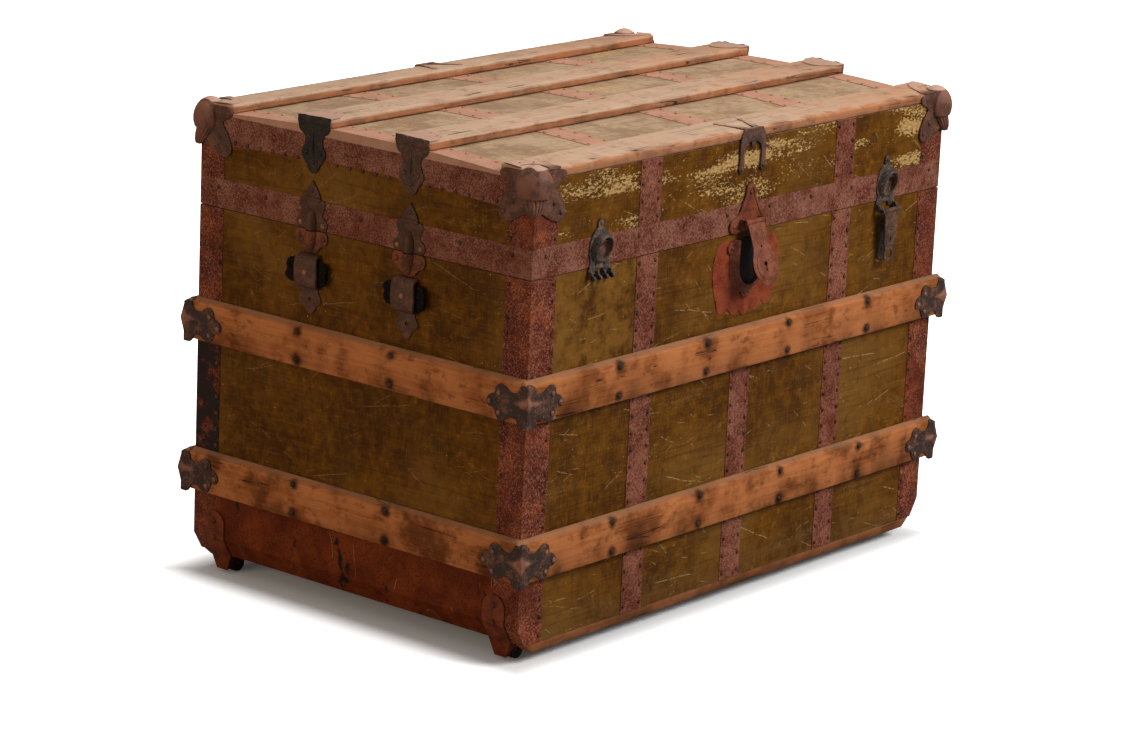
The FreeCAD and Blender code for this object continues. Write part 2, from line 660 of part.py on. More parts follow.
def lower_dowel(name, middle):
    """The body's half of a dowel: a plate and a tapering half bullet with a socket in it."""
    wide = "dowel_plate_width"
    fall = "dowel_plate_fall"
    outline = mirrored_outline([
        (middle, f"0.22 * {wide}", f"seam_height - {fall}"),
        (middle, f"0.46 * {wide}", f"seam_height - 0.62 * {fall}"),
        (middle, f"0.50 * {wide}", f"seam_height - 0.40 * {fall}"),
        (middle, f"0.46 * {wide}", "seam_height"),
    ])
    axis = "-(metal_x + dowel_plate)"
    shaft_low = "(seam_height - dowel_lower / 2)"
    taper = ("dowel_radius / 2", "dowel_radius")
    bullet = fuse(
        f"{name}_bullet",
        rod(f"{name}_shaft", "z", (axis, middle), "dowel_radius", shaft_low, "seam_height"),
        cone(f"{name}_taper", "z", (axis, middle), *taper, "seam_height - dowel_lower", shaft_low),
    )
    behind = box(
        f"{name}_behind",
        ("-metal_x", "-half_length + dowel_radius"),
        (f"{middle} - dowel_radius", f"{middle} + dowel_radius"),
        ("seam_height - dowel_lower", "seam_height"),
    )
    socket = rod(
        f"{name}_socket",
        "z",
        (f"{axis} - dowel_radius / 4", middle),
        "dowel_tongue + dowel_tongue_gap",
        "seam_height - dowel_tongue_length - dowel_tongue_gap",
        "seam_height",
    )
    face = plate(f"{name}_plate", "YZ", outline, *dowel_x("dowel_plate"))
    return cut(name, fuse(f"{name}_blank", face, bullet), behind, socket)


LOOP_BACK = "(half_length + loop_wall)"
LOOP_FRONT = "(half_length + loop_wall + leather + 2 * leather_gap)"
LOOP_OUT = "(half_length + 2 * loop_wall + leather + 2 * leather_gap)"
loop_middle = "(loop_top - loop_height / 2)"


def handle_loop(name, middle):
    """A riveted loop that holds one end of the leather handle, with a pointed tail plate."""
    half = "loop_width / 2"
    outline = [
        ("-half_length", f"{middle} - {half}"),
        (f"-{LOOP_FRONT}", f"{middle} - {half}"),
        (f"-{LOOP_OUT}", f"{middle} - {half} + loop_wall"),
        (f"-{LOOP_OUT}", f"{middle} + {half} - loop_wall"),
        (f"-{LOOP_FRONT}", f"{middle} + {half}"),
        ("-half_length", f"{middle} + {half}"),
    ]
    block = plate(f"{name}_block", "XY", outline, "loop_top - loop_height", "loop_top")
    slot_half = "(leather_height / 2 + leather_gap)"
    slot = box(
        f"{name}_slot",
        (f"-{LOOP_FRONT}", f"-{LOOP_BACK}"),
        (f"{middle} - loop_width", f"{middle} + loop_width"),
        (f"{loop_middle} - {slot_half}", f"{loop_middle} + {slot_half}"),
    )
    tail_top = "(loop_top - loop_height)"
    tip_radius = "(0.3 * loop_width)"
    tail_foot = f"({tail_top} - loop_tail + {tip_radius})"
    tail_x = ("-(half_length + dowel_plate)", "-half_length")
    tail_outline = mirrored_outline([
        (middle, tip_radius, tail_foot),
        (middle, "0.48 * loop_width", f"{tail_top} - 0.45 * loop_tail"),
        (middle, "0.36 * loop_width", f"{tail_top} - 0.18 * loop_tail"),
        (middle, "0.50 * loop_width", f"{tail_top} + dowel_plate"),
    ])
    tail = plate(f"{name}_tail", "YZ", tail_outline, *tail_x)
    tip = rod(f"{name}_tip", "x", (middle, tail_foot), tip_radius, *tail_x)
    rivet_x = (f"-{LOOP_FRONT} - loop_wall / 2", f"-{LOOP_BACK} + loop_wall / 2")
    rivet = rod(f"{name}_rivet", "x", (middle, loop_middle), "leather / 2", *rivet_x)
    return fuse(name, cut(f"{name}_ring", block, slot), tail, tip, rivet)


def leather_stub(name, middle):
    """What is left of the leather handle inside its loop."""
    strip = box(
        f"{name}_strip",
        (f"-{LOOP_FRONT} + leather_gap", f"-{LOOP_BACK} - leather_gap"),
        (f"{middle} - leather_length / 2", f"{middle} + leather_length / 2"),
        (f"{loop_middle} - leather_height / 2", f"{loop_middle} + leather_height / 2"),
    )
    hole_radius = "leather / 2 + leather_gap"
    hole = rod(f"{name}_hole", "x", (middle, loop_middle), hole_radius, f"-{LOOP_FRONT}", f"-{LOOP_BACK}")
    return cut(name, strip, hole)


for label, make in (
    ("upper_dowels", upper_dowel),
    ("lower_dowels", lower_dowel),
    ("handle_loops", handle_loop),
    ("handle_leather", leather_stub),
):
    four_corners(label, make(f"{label}_front_left", "-inner_slat_offset"))

# ---------------------------------------------------------------- lid: boards, canvas and lining


def crown(name, rise):
    """A long cylinder whose upper side is the lid's low crown, lifted by a rise."""
    reach = "(half_length + 4 * bumper_ball)"
    return rod(name, "x", ("0", "crown_centre"), f"crown_radius + ({rise})", f"-{reach}", reach)


def lid_solid(name, inset):
    """The lid's outer shape, drawn in by an inset on all sides but the open one."""
    block = box(
        f"{name}_block",
        (f"-half_length + ({inset})", f"half_length - ({inset})"),
        (f"-half_depth + ({inset})", f"half_depth - ({inset})"),
        ("lid_bottom", "lid_top + bumper_ball"),
    )
    return common(name, block, crown(f"{name}_crown", f"-({inset})"))


lid_outside = lid_solid("lid_outside", "0")
lid_boards = lid_solid("lid_boards", "canvas")
lid_hollow = lid_solid("lid_hollow", "canvas + board")
lid_skin = cut("lid_skin", lid_solid("lid_metal", "-sheet_metal"), lid_outside)
LID_Z = ("lid_bottom", "lid_top + bumper_ball")

under_top = crown("under_top_board", "-(canvas + board)")
subpart("lid_top_board", cut("lid_top_board", lid_boards, under_top))
lid_front_blank = box("lid_front_blank", ("-board_x", "board_x"), ("-board_y", "-inside_y"), LID_Z)
lid_front_board = subpart("lid_front_board", common("lid_front_board", lid_front_blank, under_top))
subpart("lid_back_board", mirror("lid_back_board", lid_front_board, "y"))
lid_end_blank = box("lid_end_blank", ("-board_x", "-inside_x"), ("-inside_y", "inside_y"), LID_Z)
lid_left_board = common("lid_left_board", lid_end_blank, under_top)
lid_right_board = mirror("lid_right_board", lid_left_board, "x")
subpart("lid_end_boards", group("lid_end_boards", lid_left_board, lid_right_board))
subpart("lid_canvas", cut("lid_canvas", lid_outside, lid_boards))
lid_inside = lid_solid("lid_inside", "canvas + board + lining")
subpart("lid_lining", cut("lid_lining", lid_hollow, lid_inside))

# ---------------------------------------------------------------- lid: sheet-metal bands and straps

RIM_Z = ("lid_bottom", "band_top")
rim_outer = box("rim_outer", ("-metal_x", "metal_x"), ("-metal_y", "metal_y"), RIM_Z)
rim_inner = box("rim_inner", ("-half_length", "half_length"), ("-half_depth", "half_depth"), RIM_Z)
subpart("lid_rim_band", cut("lid_rim_band", rim_outer, rim_inner))

ABOVE_RIM = "band_top + metal_gap"
binding_top = "(lid_edge - end_band_drop - metal_gap)"
lid_binding_zone = box("lid_binding_zone", BINDING_X, BINDING_Y, (ABOVE_RIM, binding_top))
four_corners("lid_corner_bindings", common("lid_corner_binding", lid_skin, lid_binding_zone))

end_band_zone = box(
    "end_band_zone", ("-metal_x", "-(half_length - end_band_top)"), ("-half_depth", "half_depth"), LID_Z
)
end_band_below = crown("end_band_below", "-end_band_drop")
left_end_band = cut("left_end_band", common("end_band_blank", lid_skin, end_band_zone), end_band_below)
subpart("lid_end_bands", group("lid_end_bands", left_end_band, mirror("right_end_band", left_end_band, "x")))

strap_z = (ABOVE_RIM, "lid_top + bumper_ball")
lid_straps = [
    common(
        f"lid_{side}_strap",
        lid_skin,
        box(f"lid_{side}_strap_zone", across(place, "strap_width"), (start, "metal_y"), strap_z),
    )
    for side, place, start in (
        ("left", "-strap_spacing", "-metal_y"),
        ("middle", "0", "-half_depth"),
        ("right", "strap_spacing", "-metal_y"),
    )
]
subpart("lid_straps", group("lid_straps", *lid_straps))

# ---------------------------------------------------------------- lid: slats and their clamps

slat_under = crown("lid_slat_under", "sheet_metal")
slat_over = crown("lid_slat_over", "sheet_metal + lid_slat_thickness")
slat_layer = cut("lid_slat_layer", slat_over, slat_under)


def upper_long_edges(shape):
    """The edges along the trunk on the upper side of a slat."""
    centre = shape.Solids[0].CenterOfMass.z
    return [
        i
        for i, edge in enumerate(shape.Edges, start=1)
        if edge.BoundBox.XLength > shape.BoundBox.XLength - 1 and edge.BoundBox.ZMin > centre
    ]


def lid_slat(name, y):
    """A slat that follows the lid's crown, with rounded upper edges."""
    zone = box(f"{name}_zone", ("-metal_x", "metal_x"), y, ("lid_edge - board", "slat_top + board"))
    blank = common(f"{name}_blank", slat_layer, zone)
    doc.recompute()
    rounded = doc.addObject("Part::Fillet", name)
    rounded.Base = blank
    radius = number("lid_slat_round")
    rounded.Edges = [(edge, radius, radius) for edge in upper_long_edges(blank.Shape)]
    return rounded


notch_y = ("-metal_y", "-(half_depth - bumper_ball_inset)")
notch_z = ("lid_edge - bumper_ball_inset", "slat_top + bumper_ball")
left_notch = box("left_slat_notch", ("-metal_x", "-(half_length - bumper_ball_inset)"), notch_y, notch_z)
right_notch = box("right_slat_notch", ("half_length - bumper_ball_inset", "metal_x"), notch_y, notch_z)
edge_slat = lid_slat("front_lid_slat_uncut", ("-metal_y", "-edge_slat_inner"))
front_lid_slat = subpart("lid_front_slat", cut("lid_front_slat", edge_slat, left_notch, right_notch))
inner_lid_slat = lid_slat("lid_inner_front_slat", across("-inner_slat_offset", "lid_slat_width"))
subpart("lid_inner_front_slat", inner_lid_slat)
subpart("lid_inner_back_slat", mirror("lid_inner_back_slat", inner_lid_slat, "y"))
subpart("lid_back_slat", mirror("lid_back_slat", front_lid_slat, "y"))

clamp_over = crown("clamp_over", "sheet_metal + lid_slat_thickness + clamp_metal")
clamp_shell = cut("clamp_shell", clamp_over, slat_over)
clamp_x = ("-(metal_x + clamp_metal)", "-metal_x")
clamp_middle = "-inner_slat_offset"
CLEAR_ABOVE = "(slat_top + clamp_width)"


clamp_y = across(clamp_middle, "clamp_width")
clamp_cap_x = (clamp_x[0], "-(half_length - clamp_cover)")
clamp_cap_zone = box("clamp_cap_zone", clamp_cap_x, clamp_y, ("lid_edge", CLEAR_ABOVE))
clamp_cap = common("clamp_cap", clamp_shell, clamp_cap_zone)
clamp_leg_top = "(slat_top - lid_slat_thickness)"
clamp_shoulder_z = (f"{clamp_leg_top} - lid_slat_thickness", CLEAR_ABOVE)
clamp_shoulder_zone = box("clamp_shoulder_zone", clamp_x, clamp_y, clamp_shoulder_z)
clamp_shoulder = common("clamp_shoulder", clamp_shoulder_zone, clamp_over)
clamp_lobe = "(clamp_leg_width / 4)"
clamp_toe = f"(clamp_low + {clamp_lobe})"
clamp_ear = f"(clamp_low + 2.5 * {clamp_lobe})"
clamp_shin_y = across(clamp_middle, "0.7 * clamp_leg_width")
clamp_leg = fuse(
    "clamp_leg",
    box("clamp_shin", clamp_x, clamp_shin_y, (clamp_toe, clamp_leg_top)),
    rod("clamp_toe", "x", (clamp_middle, clamp_toe), clamp_lobe, *clamp_x),
    rod("clamp_front_ear", "x", (f"{clamp_middle} - {clamp_lobe}", clamp_ear), clamp_lobe, *clamp_x),
    rod("clamp_back_ear", "x", (f"{clamp_middle} + {clamp_lobe}", clamp_ear), clamp_lobe, *clamp_x),
)
four_corners("slat_end_clamps", fuse("slat_end_clamp", clamp_cap, clamp_shoulder, clamp_leg))

shoe_y = ("-(metal_y + clamp_metal)", "-metal_y")
shoe_radius = "(horseshoe_width / 2)"
shoe_low = "(edge_slat_top - horseshoe_drop)"
shoe_centre = "(edge_slat_top - horseshoe_width / 2)"
shoe_gap = "(horseshoe_width - 2 * horseshoe_leg)"
shoe_arch = cut(
    "horseshoe_arch",
    fuse(
        "horseshoe_outside",
        rod("horseshoe_round", "y", ("0", shoe_centre), shoe_radius, *shoe_y),
        box("horseshoe_legs", across("0", "horseshoe_width"), shoe_y, (shoe_low, shoe_centre)),
    ),
    rod("horseshoe_hole", "y", ("0", shoe_centre), f"{shoe_radius} - horseshoe_leg", *shoe_y),
    box("horseshoe_slot", across("0", shoe_gap), shoe_y, (shoe_low, shoe_centre)),
)
shoe_top_z = ("lid_edge", CLEAR_ABOVE)
shoe_reach_y = (shoe_y[0], "-(half_depth - horseshoe_reach)")
shoe_fork_y = ("-half_depth + horseshoe_leg", "0")
shoe_prongs = cut(
    "horseshoe_prongs",
    common(
        "horseshoe_cover",
        clamp_shell,
        box("horseshoe_zone", across("0", "horseshoe_width"), shoe_reach_y, shoe_top_z),
    ),
    box("horseshoe_fork", across("0", shoe_gap), shoe_fork_y, shoe_top_z),
)
shoe_bend_z = ("edge_slat_top - horseshoe_leg", "edge_slat_top + clamp_metal / 2")
shoe_bend = box("horseshoe_bend", across("0", shoe_gap), shoe_y, shoe_bend_z)
front_shoe = fuse("front_horseshoe_clamp", shoe_arch, shoe_prongs, shoe_bend)
back_shoe = mirror("back_horseshoe_clamp", front_shoe, "y")
subpart("horseshoe_clamps", group("horseshoe_clamps", front_shoe, back_shoe))

# ---------------------------------------------------------------- lid: corner bumpers

bumper_x = ("-(metal_x + casting)", "-(half_length - bumper_wing)")
bumper_y = ("-(metal_y + casting)", "-(half_depth - bumper_wing)")
dome_middle = (
    "-half_length + bumper_ball_inset",
    "-half_depth + bumper_ball_inset",
    "edge_slat_top - bumper_ball_drop",
)
over_slat_z = ("lid_edge", "slat_top + bumper_ball")
slat_hollow = common(
    "bumper_slat_hollow",
    box("bumper_slat_block", ("-metal_x", "0"), ("-metal_y", "0"), ("seam_height", over_slat_z[1])),
    slat_over,
)
bumper_hollow = cut("bumper_hollow", slat_hollow, cut("bumper_notch", left_notch, slat_under))
bumper_cap_x = (bumper_x[0], "-(half_length - bumper_cover)")
bumper_cap_y = (bumper_y[0], "-edge_slat_inner")
bumper_cap = common(
    "bumper_cap",
    crown("bumper_crown", "sheet_metal + lid_slat_thickness + casting"),
    box("bumper_cap_zone", bumper_cap_x, bumper_cap_y, over_slat_z),
)
low_lobe = "(bumper_low + bumper_lobe)"
high_lobe = "(bumper_low + 2.6 * bumper_lobe)"
bumper_side = "(bumper_wing - bumper_lobe)"
bumper_edge = "(bumper_wing - 1.5 * bumper_lobe)"
high_side = "(bumper_wing - 2 * bumper_lobe)"
nose = "(bumper_low + 1.3 * bumper_lobe)"
arm = ("lid_edge - 2 * casting", "edge_slat_top - lid_slat_thickness / 2")
bumper_pieces = [bumper_cap]
for name, face, span, edge in (
    ("front", "y", (bumper_y[0], "-metal_y"), "half_length"),
    ("end", "x", (bumper_x[0], "-metal_x"), "half_depth"),
):
    corner = bumper_x[0] if face == "y" else bumper_y[0]
    for piece, reach, z in (
        ("upper", bumper_edge, (low_lobe, "edge_slat_top")),
        ("arm", "bumper_wing", arm),
        ("nose", "bumper_lobe", (nose, "edge_slat_top")),
    ):
        across_face = (corner, f"-({edge} - {reach})")
        x = across_face if face == "y" else span
        y = span if face == "y" else across_face
        bumper_pieces.append(box(f"bumper_{name}_{piece}", x, y, z))
    for lobe, reach, height in (("low", bumper_side, low_lobe), ("high", high_side, high_lobe)):
        centre = (f"-({edge} - {reach})", height)
        bumper_pieces.append(rod(f"bumper_{name}_{lobe}_lobe", face, centre, "bumper_lobe", *span))
dome_room = box(
    "bumper_dome_room",
    (bumper_x[0], dome_middle[0]),
    (bumper_y[0], dome_middle[1]),
    (dome_middle[2], "slat_top + bumper_ball"),
)
bumper_walls = cut("bumper_walls", fuse("bumper_blank", *bumper_pieces), dome_room)
bumper_dome = ball("bumper_dome", dome_middle, "bumper_ball")
bumper = cut("lid_corner_bumper", fuse("bumper_body", bumper_walls, bumper_dome), bumper_hollow)
four_corners("lid_corner_bumpers", bumper)

# ---------------------------------------------------------------- hinges

HINGE_AXIS = ("hinge_axis_y", "hinge_axis_z")
body_leaves = []
lid_leaves = []
hinge_pins = []
LEAF_Y = ("metal_y", "metal_y + hinge_leaf")
BODY_LEAF_Z = ("hinge_axis_z - hinge_leaf_height", "hinge_axis_z - seam_gap / 4")
LID_LEAF_Z = ("hinge_axis_z + seam_gap / 4", "hinge_axis_z + hinge_leaf_height")
for side, place in STRAPS:
    name = f"{side}_hinge"
    span = across(place, "hinge_width")
    lid_knuckle = across(place, "hinge_width / 3")
    lid_room = across(place, "hinge_width / 3 + 2 * knuckle_gap")
    bore = rod(f"{name}_bore", "x", HINGE_AXIS, "hinge_pin_radius + running_gap", *span)
    clear = rod(f"{name}_clearance", "x", HINGE_AXIS, "barrel_radius + knuckle_gap", *span)
    room = rod(f"{name}_room", "x", HINGE_AXIS, "barrel_radius + knuckle_gap", *lid_room)
    barrel = rod(f"{name}_barrel", "x", HINGE_AXIS, "barrel_radius", *span)
    knuckle = rod(f"{name}_knuckle", "x", HINGE_AXIS, "barrel_radius", *lid_knuckle)
    body_blank = fuse(f"{name}_body_blank", box(f"{name}_body_plate", span, LEAF_Y, BODY_LEAF_Z), barrel)
    body_leaves.append(cut(f"{name}_body_leaf", body_blank, room, bore))
    middle = box(f"{name}_middle", lid_knuckle, ("0", "2 * half_depth"), ("0", "lid_top"))
    body_knuckles = cut(f"{name}_body_knuckles", clear, middle)
    lid_plate = cut(f"{name}_lid_trimmed", box(f"{name}_lid_plate", span, LEAF_Y, LID_LEAF_Z), body_knuckles)
    lid_leaves.append(cut(f"{name}_lid_leaf", fuse(f"{name}_lid_blank", lid_plate, knuckle), bore))
    hinge_pins.append(rod(f"{name}_pin", "x", HINGE_AXIS, "hinge_pin_radius", *span))
subpart("body_hinge_leaves", group("body_hinge_leaves", *body_leaves))
subpart("lid_hinge_leaves", group("lid_hinge_leaves", *lid_leaves))
subpart("hinge_pins", group("hinge_pins", *hinge_pins))

# ---------------------------------------------------------------- lock: shell plate and bowl on the body

shell_y = ("-(half_depth + shell_plate)", "-half_depth")
shell_pieces = [rod("shell_disc", "y", ("0", "shell_height"), "shell_radius", *shell_y)]
SHELL_LOBES = 8
for i in range(SHELL_LOBES):
    turn = 180 + (i + 0.5) * 180 / SHELL_LOBES
    reach = "(shell_radius - shell_lobe / 2)"
    centre = (f"{reach} * cos({turn} deg)", f"shell_height + {reach} * sin({turn} deg)")
    shell_pieces.append(rod(f"shell_lobe_{i}", "y", centre, "shell_lobe", *shell_y))
above_z = ("shell_top", "shell_height + 2 * shell_radius")
shell_above = box("shell_above", across("0", "4 * shell_radius"), shell_y, above_z)
subpart("lock_shell_plate", cut("lock_shell_plate", fuse("shell_blank", *shell_pieces), shell_above))

BOWL_Z = "(hasp_axis_height - hasp_lobe_drop)"
bowl_y = ("-(half_depth + bowl_out)", "-(half_depth + shell_plate)")
ear_y = ("-(half_depth + shell_plate + casting)", "-(half_depth + shell_plate)")
bowl_inside = "(bowl_radius - bowl_wall)"
ear_z = "(bowl_top - bowl_ear)"
bolt_slot_x = (f"{bowl_inside} - bowl_wall", "bowl_radius - lock_bolt_inset / 2")
bolt_slot_y = ("-(half_depth + bowl_out - bowl_rim)", "-(half_depth + shell_plate)")
bolt_slot_z = across(BOWL_Z, "lock_bolt_width + 4 * knuckle_gap")
bowl = cut(
    "lock_bowl",
    fuse(
        "bowl_blank",
        rod("bowl_round", "y", ("0", BOWL_Z), "bowl_radius", *bowl_y),
        box("bowl_neck", ("-bowl_radius", "bowl_radius"), bowl_y, (BOWL_Z, "bowl_top")),
        rod("bowl_left_ear", "y", ("-bowl_ear_offset", ear_z), "bowl_ear", *ear_y),
        rod("bowl_right_ear", "y", ("bowl_ear_offset", ear_z), "bowl_ear", *ear_y),
        rod("bowl_foot", "y", ("0", f"{BOWL_Z} - bowl_ear_offset"), "bowl_ear", *ear_y),
    ),
    rod("bowl_hollow", "y", ("0", BOWL_Z), bowl_inside, *bowl_y),
    box("bowl_neck_hollow", (f"-{bowl_inside}", bowl_inside), bowl_y, (BOWL_Z, "bowl_top")),
    box("bowl_bolt_slot", bolt_slot_x, bolt_slot_y, bolt_slot_z),
)
subpart("lock_bowl", bowl)

# ---------------------------------------------------------------- lock: hasp plate and pins on the lid

plate_y = ("-(metal_y + hasp_plate)", "-metal_y")
eye_z = "(lid_bottom + hasp_eye_radius)"
tip_z = "(hasp_axis_height + hasp_tip_rise)"
hasp_side = "(hasp_width / 2 + knuckle_gap)"
lug_out = f"({hasp_side} + casting)"
lug_y = ("hasp_axis_y", "-metal_y")
hasp_lug_z = across("hasp_axis_height", "2 * hasp_barrel_radius")
HASP_AXIS = ("hasp_axis_y", "hasp_axis_height")


def hasp_triangle(name, inset, y):
    """The middle of the hasp's lid plate: a triangle with a cut-off tip, drawn in by an inset."""
    outline = mirrored_outline([
        ("0", f"hasp_eye_offset - 1.4 * ({inset})", f"lid_bottom + ({inset})"),
        ("0", f"hasp_eye_offset + hasp_eye_radius * 0.7 - 2 * ({inset})", f"{eye_z} + ({inset}) / 2"),
        ("0", f"hasp_tip_radius - ({inset})", f"{tip_z} - ({inset}) * 2"),
    ])
    return plate(name, "XZ", outline, *y)


hasp_plate_sunk = cut(
    "hasp_plate_sunk",
    fuse(
        "hasp_plate_blank",
        hasp_triangle("hasp_plate_triangle", "0", plate_y),
        rod("hasp_left_eye", "y", ("-hasp_eye_offset", eye_z), "hasp_eye_radius", *plate_y),
        rod("hasp_right_eye", "y", ("hasp_eye_offset", eye_z), "hasp_eye_radius", *plate_y),
        rod("hasp_tip", "y", ("0", tip_z), "hasp_tip_radius", *plate_y),
    ),
    hasp_triangle("hasp_plate_recess", "casting * 1.5", (plate_y[0], f"{plate_y[0]} + hasp_plate_recess")),
)
hasp_plate_lugged = fuse(
    "hasp_plate_lugged",
    hasp_plate_sunk,
    box("hasp_left_lug", (f"-{lug_out}", f"-{hasp_side}"), lug_y, hasp_lug_z),
    box("hasp_right_lug", (hasp_side, lug_out), lug_y, hasp_lug_z),
    rod("hasp_left_knuckle", "x", HASP_AXIS, "hasp_barrel_radius", f"-{lug_out}", f"-{hasp_side}"),
    rod("hasp_right_knuckle", "x", HASP_AXIS, "hasp_barrel_radius", hasp_side, lug_out),
)
hasp_lid_plate = cut(
    "hasp_lid_plate",
    hasp_plate_lugged,
    rod("hasp_lug_bore", "x", HASP_AXIS, "hasp_pin_radius + running_gap", f"-{lug_out}", lug_out),
)
subpart("hasp_lid_plate", hasp_lid_plate)

LEVER_AXIS = ("lever_axis_y", "lever_axis_height")
lever_side = "(lever_width / 2 + knuckle_gap)"
lever_lug_out = f"({lever_side} + casting)"
hasp_pin = rod("hasp_pin", "x", HASP_AXIS, "hasp_pin_radius", f"-{lug_out}", lug_out)
lever_pin_x = (f"latch_offset - {lever_lug_out}", f"latch_offset + {lever_lug_out}")
lever_pin = rod("lever_pin", "x", LEVER_AXIS, "lever_pin_radius", *lever_pin_x)
subpart("lid_hardware_pins", group("lid_hardware_pins", hasp_pin, lever_pin))

# ---------------------------------------------------------------- lock: hasp, lock box and bolt

# These three are drawn with the hasp's hinge at the origin and the hasp hanging down, then swung ajar.


def hang_on_hasp(feature):
    """Puts a piece on the hasp's hinge and swings it out to where the hasp stands."""
    feature.Placement.Rotation = FreeCAD.Rotation(FreeCAD.Vector(1, 0, 0), -number("hasp_ajar"))
    feature.setExpression("Placement.Rotation.Angle", ex("-hasp_ajar * 1 deg"))
    feature.setExpression("Placement.Base.y", ex("hasp_axis_y"))
    feature.setExpression("Placement.Base.z", ex("hasp_axis_height"))
    return feature


hasp_y = ("-hasp_metal / 2", "hasp_metal / 2")
keyhole_z = "-(hasp_lobe_drop - keyhole_radius)"
hasp = cut(
    "hasp",
    fuse(
        "hasp_blank",
        rod("hasp_barrel", "x", ("0", "0"), "hasp_barrel_radius", "-hasp_width / 2", "hasp_width / 2"),
        box("hasp_strip", across("0", "hasp_width"), hasp_y, ("-hasp_lobe_drop", "0")),
        rod("hasp_lobe", "y", ("0", "-hasp_lobe_drop"), "hasp_lobe_radius", *hasp_y),
    ),
    rod("hasp_bore", "x", ("0", "0"), "hasp_pin_radius + running_gap", "-hasp_width", "hasp_width"),
    rod("keyhole_round", "y", ("0", keyhole_z), "keyhole_radius", *hasp_y),
    box("keyhole_leg", across("0", "keyhole_slot"), hasp_y, (f"{keyhole_z} - keyhole_length", keyhole_z)),
)
subpart("hasp", hang_on_hasp(hasp))

box_y = ("hasp_metal / 2", "hasp_metal / 2 + lock_box_depth")
bolt_y = ("hasp_metal / 2 + lock_bolt_cover", "hasp_metal / 2 + lock_bolt_cover + lock_bolt_depth")
bolt_z = across("-hasp_lobe_drop", "lock_bolt_width")
lock_box = cut(
    "lock_box",
    rod("lock_box_blank", "y", ("0", "-hasp_lobe_drop"), "lock_box_radius", *box_y),
    box(
        "bolt_channel",
        ("-lock_bolt_travel / 2 - knuckle_gap", "lock_box_radius"),
        (f"{bolt_y[0]} - knuckle_gap", f"{bolt_y[1]} + knuckle_gap"),
        across("-hasp_lobe_drop", "lock_bolt_width + 2 * knuckle_gap"),
    ),
)
subpart("lock_box", hang_on_hasp(lock_box))
bolt = box("lock_bolt_bar", ("-lock_bolt_travel / 2", "lock_box_radius - lock_bolt_inset"), bolt_y, bolt_z)
subpart("lock_bolt", hang_on_hasp(group("lock_bolt_piece", bolt)))

# ---------------------------------------------------------------- draw-bolt latches


def latch(name, place):
    """A latch plate on the lid: a pointed plate with a hollow hood and two knuckles below the seam."""
    middle = f"({place})"
    wide = "latch_width"
    foot = "(lever_axis_height - lever_barrel_radius)"
    outline = mirrored_outline([
        (middle, lever_lug_out, foot),
        (middle, lever_lug_out, "latch_foot + 3 * casting"),
        (middle, f"0.42 * {wide}", "latch_foot + 4 * casting"),
        (middle, f"0.50 * {wide}", "latch_hood_height - casting"),
        (middle, f"0.40 * {wide}", "latch_hood_height + latch_hood_radius * 0.7"),
        (middle, f"0.16 * {wide}", "latch_hood_height + latch_hood_radius + casting"),
        (middle, f"0.14 * {wide}", "latch_tip - casting"),
        (middle, "0", "latch_tip"),
    ])
    face_y = ("-(metal_y + latch_plate)", "-metal_y")
    hood_y = ("-(half_depth + latch_hood_out)", "-metal_y")
    hood_at = (place, "latch_hood_height")
    lug_span = ("lever_axis_y", "-metal_y")
    lug_z = across("lever_axis_height", "2 * lever_barrel_radius")
    left = (f"{middle} - {lever_lug_out}", f"{middle} - {lever_side}")
    right = (f"{middle} + {lever_side}", f"{middle} + {lever_lug_out}")
    blank = fuse(
        f"{name}_blank",
        plate(f"{name}_plate", "XZ", outline, *face_y),
        cone(f"{name}_hood", "y", hood_at, "latch_hood_mouth", "latch_hood_radius", *hood_y),
        box(f"{name}_left_lug", left, lug_span, lug_z),
        box(f"{name}_right_lug", right, lug_span, lug_z),
        rod(f"{name}_left_knuckle", "x", LEVER_AXIS, "lever_barrel_radius", *left),
        rod(f"{name}_right_knuckle", "x", LEVER_AXIS, "lever_barrel_radius", *right),
    )
    return cut(
        name,
        blank,
        rod(f"{name}_mouth", "y", hood_at, "latch_hood_bore", hood_y[0], face_y[0]),
        rod(f"{name}_bore", "x", LEVER_AXIS, "lever_pin_radius + running_gap", left[0], right[1]),
        box(f"{name}_gap", (left[1], right[0]), face_y, (foot, "latch_foot")),
    )


left_latch = latch("left_latch", "-latch_offset")
right_latch = latch("right_latch", "latch_offset")
subpart("latch_plates", group("latch_plates", left_latch, right_latch))

lever_y = across("lever_axis_y", "lever_metal")
lever_foot_y = ("lever_axis_y + lever_metal / 2", "lever_axis_y + 1.5 * lever_metal")
lever_low = "(lever_axis_height - lever_length)"
step_z = "(lever_axis_height - lever_step)"
lever_middle = "(latch_offset)"
step_in = ("lever_axis_y - lever_metal / 2", "lever_axis_y + 1.5 * lever_metal")
lever_foot_x = across(lever_middle, "lever_foot_width")
upper_lever = mirrored_outline([
    (lever_middle, "0.44 * lever_width", step_z),
    (lever_middle, "0.40 * lever_width", "lever_axis_height - lever_step / 2"),
    (lever_middle, "0.50 * lever_width", "lever_axis_height"),
])
lower_lever = mirrored_outline([
    (lever_middle, "0.50 * lever_foot_width", lever_low),
    (lever_middle, "0.50 * lever_foot_width", f"{step_z} + lever_metal"),
])
cross_z = f"({step_z} + 0.45 * lever_step)"
cross_x = across(lever_middle, "lever_cross")
cross_slot_x = across(lever_middle, "lever_cross_slot")
window_z = (f"{lever_low} + lever_window_low", f"{lever_low} + lever_window_high")
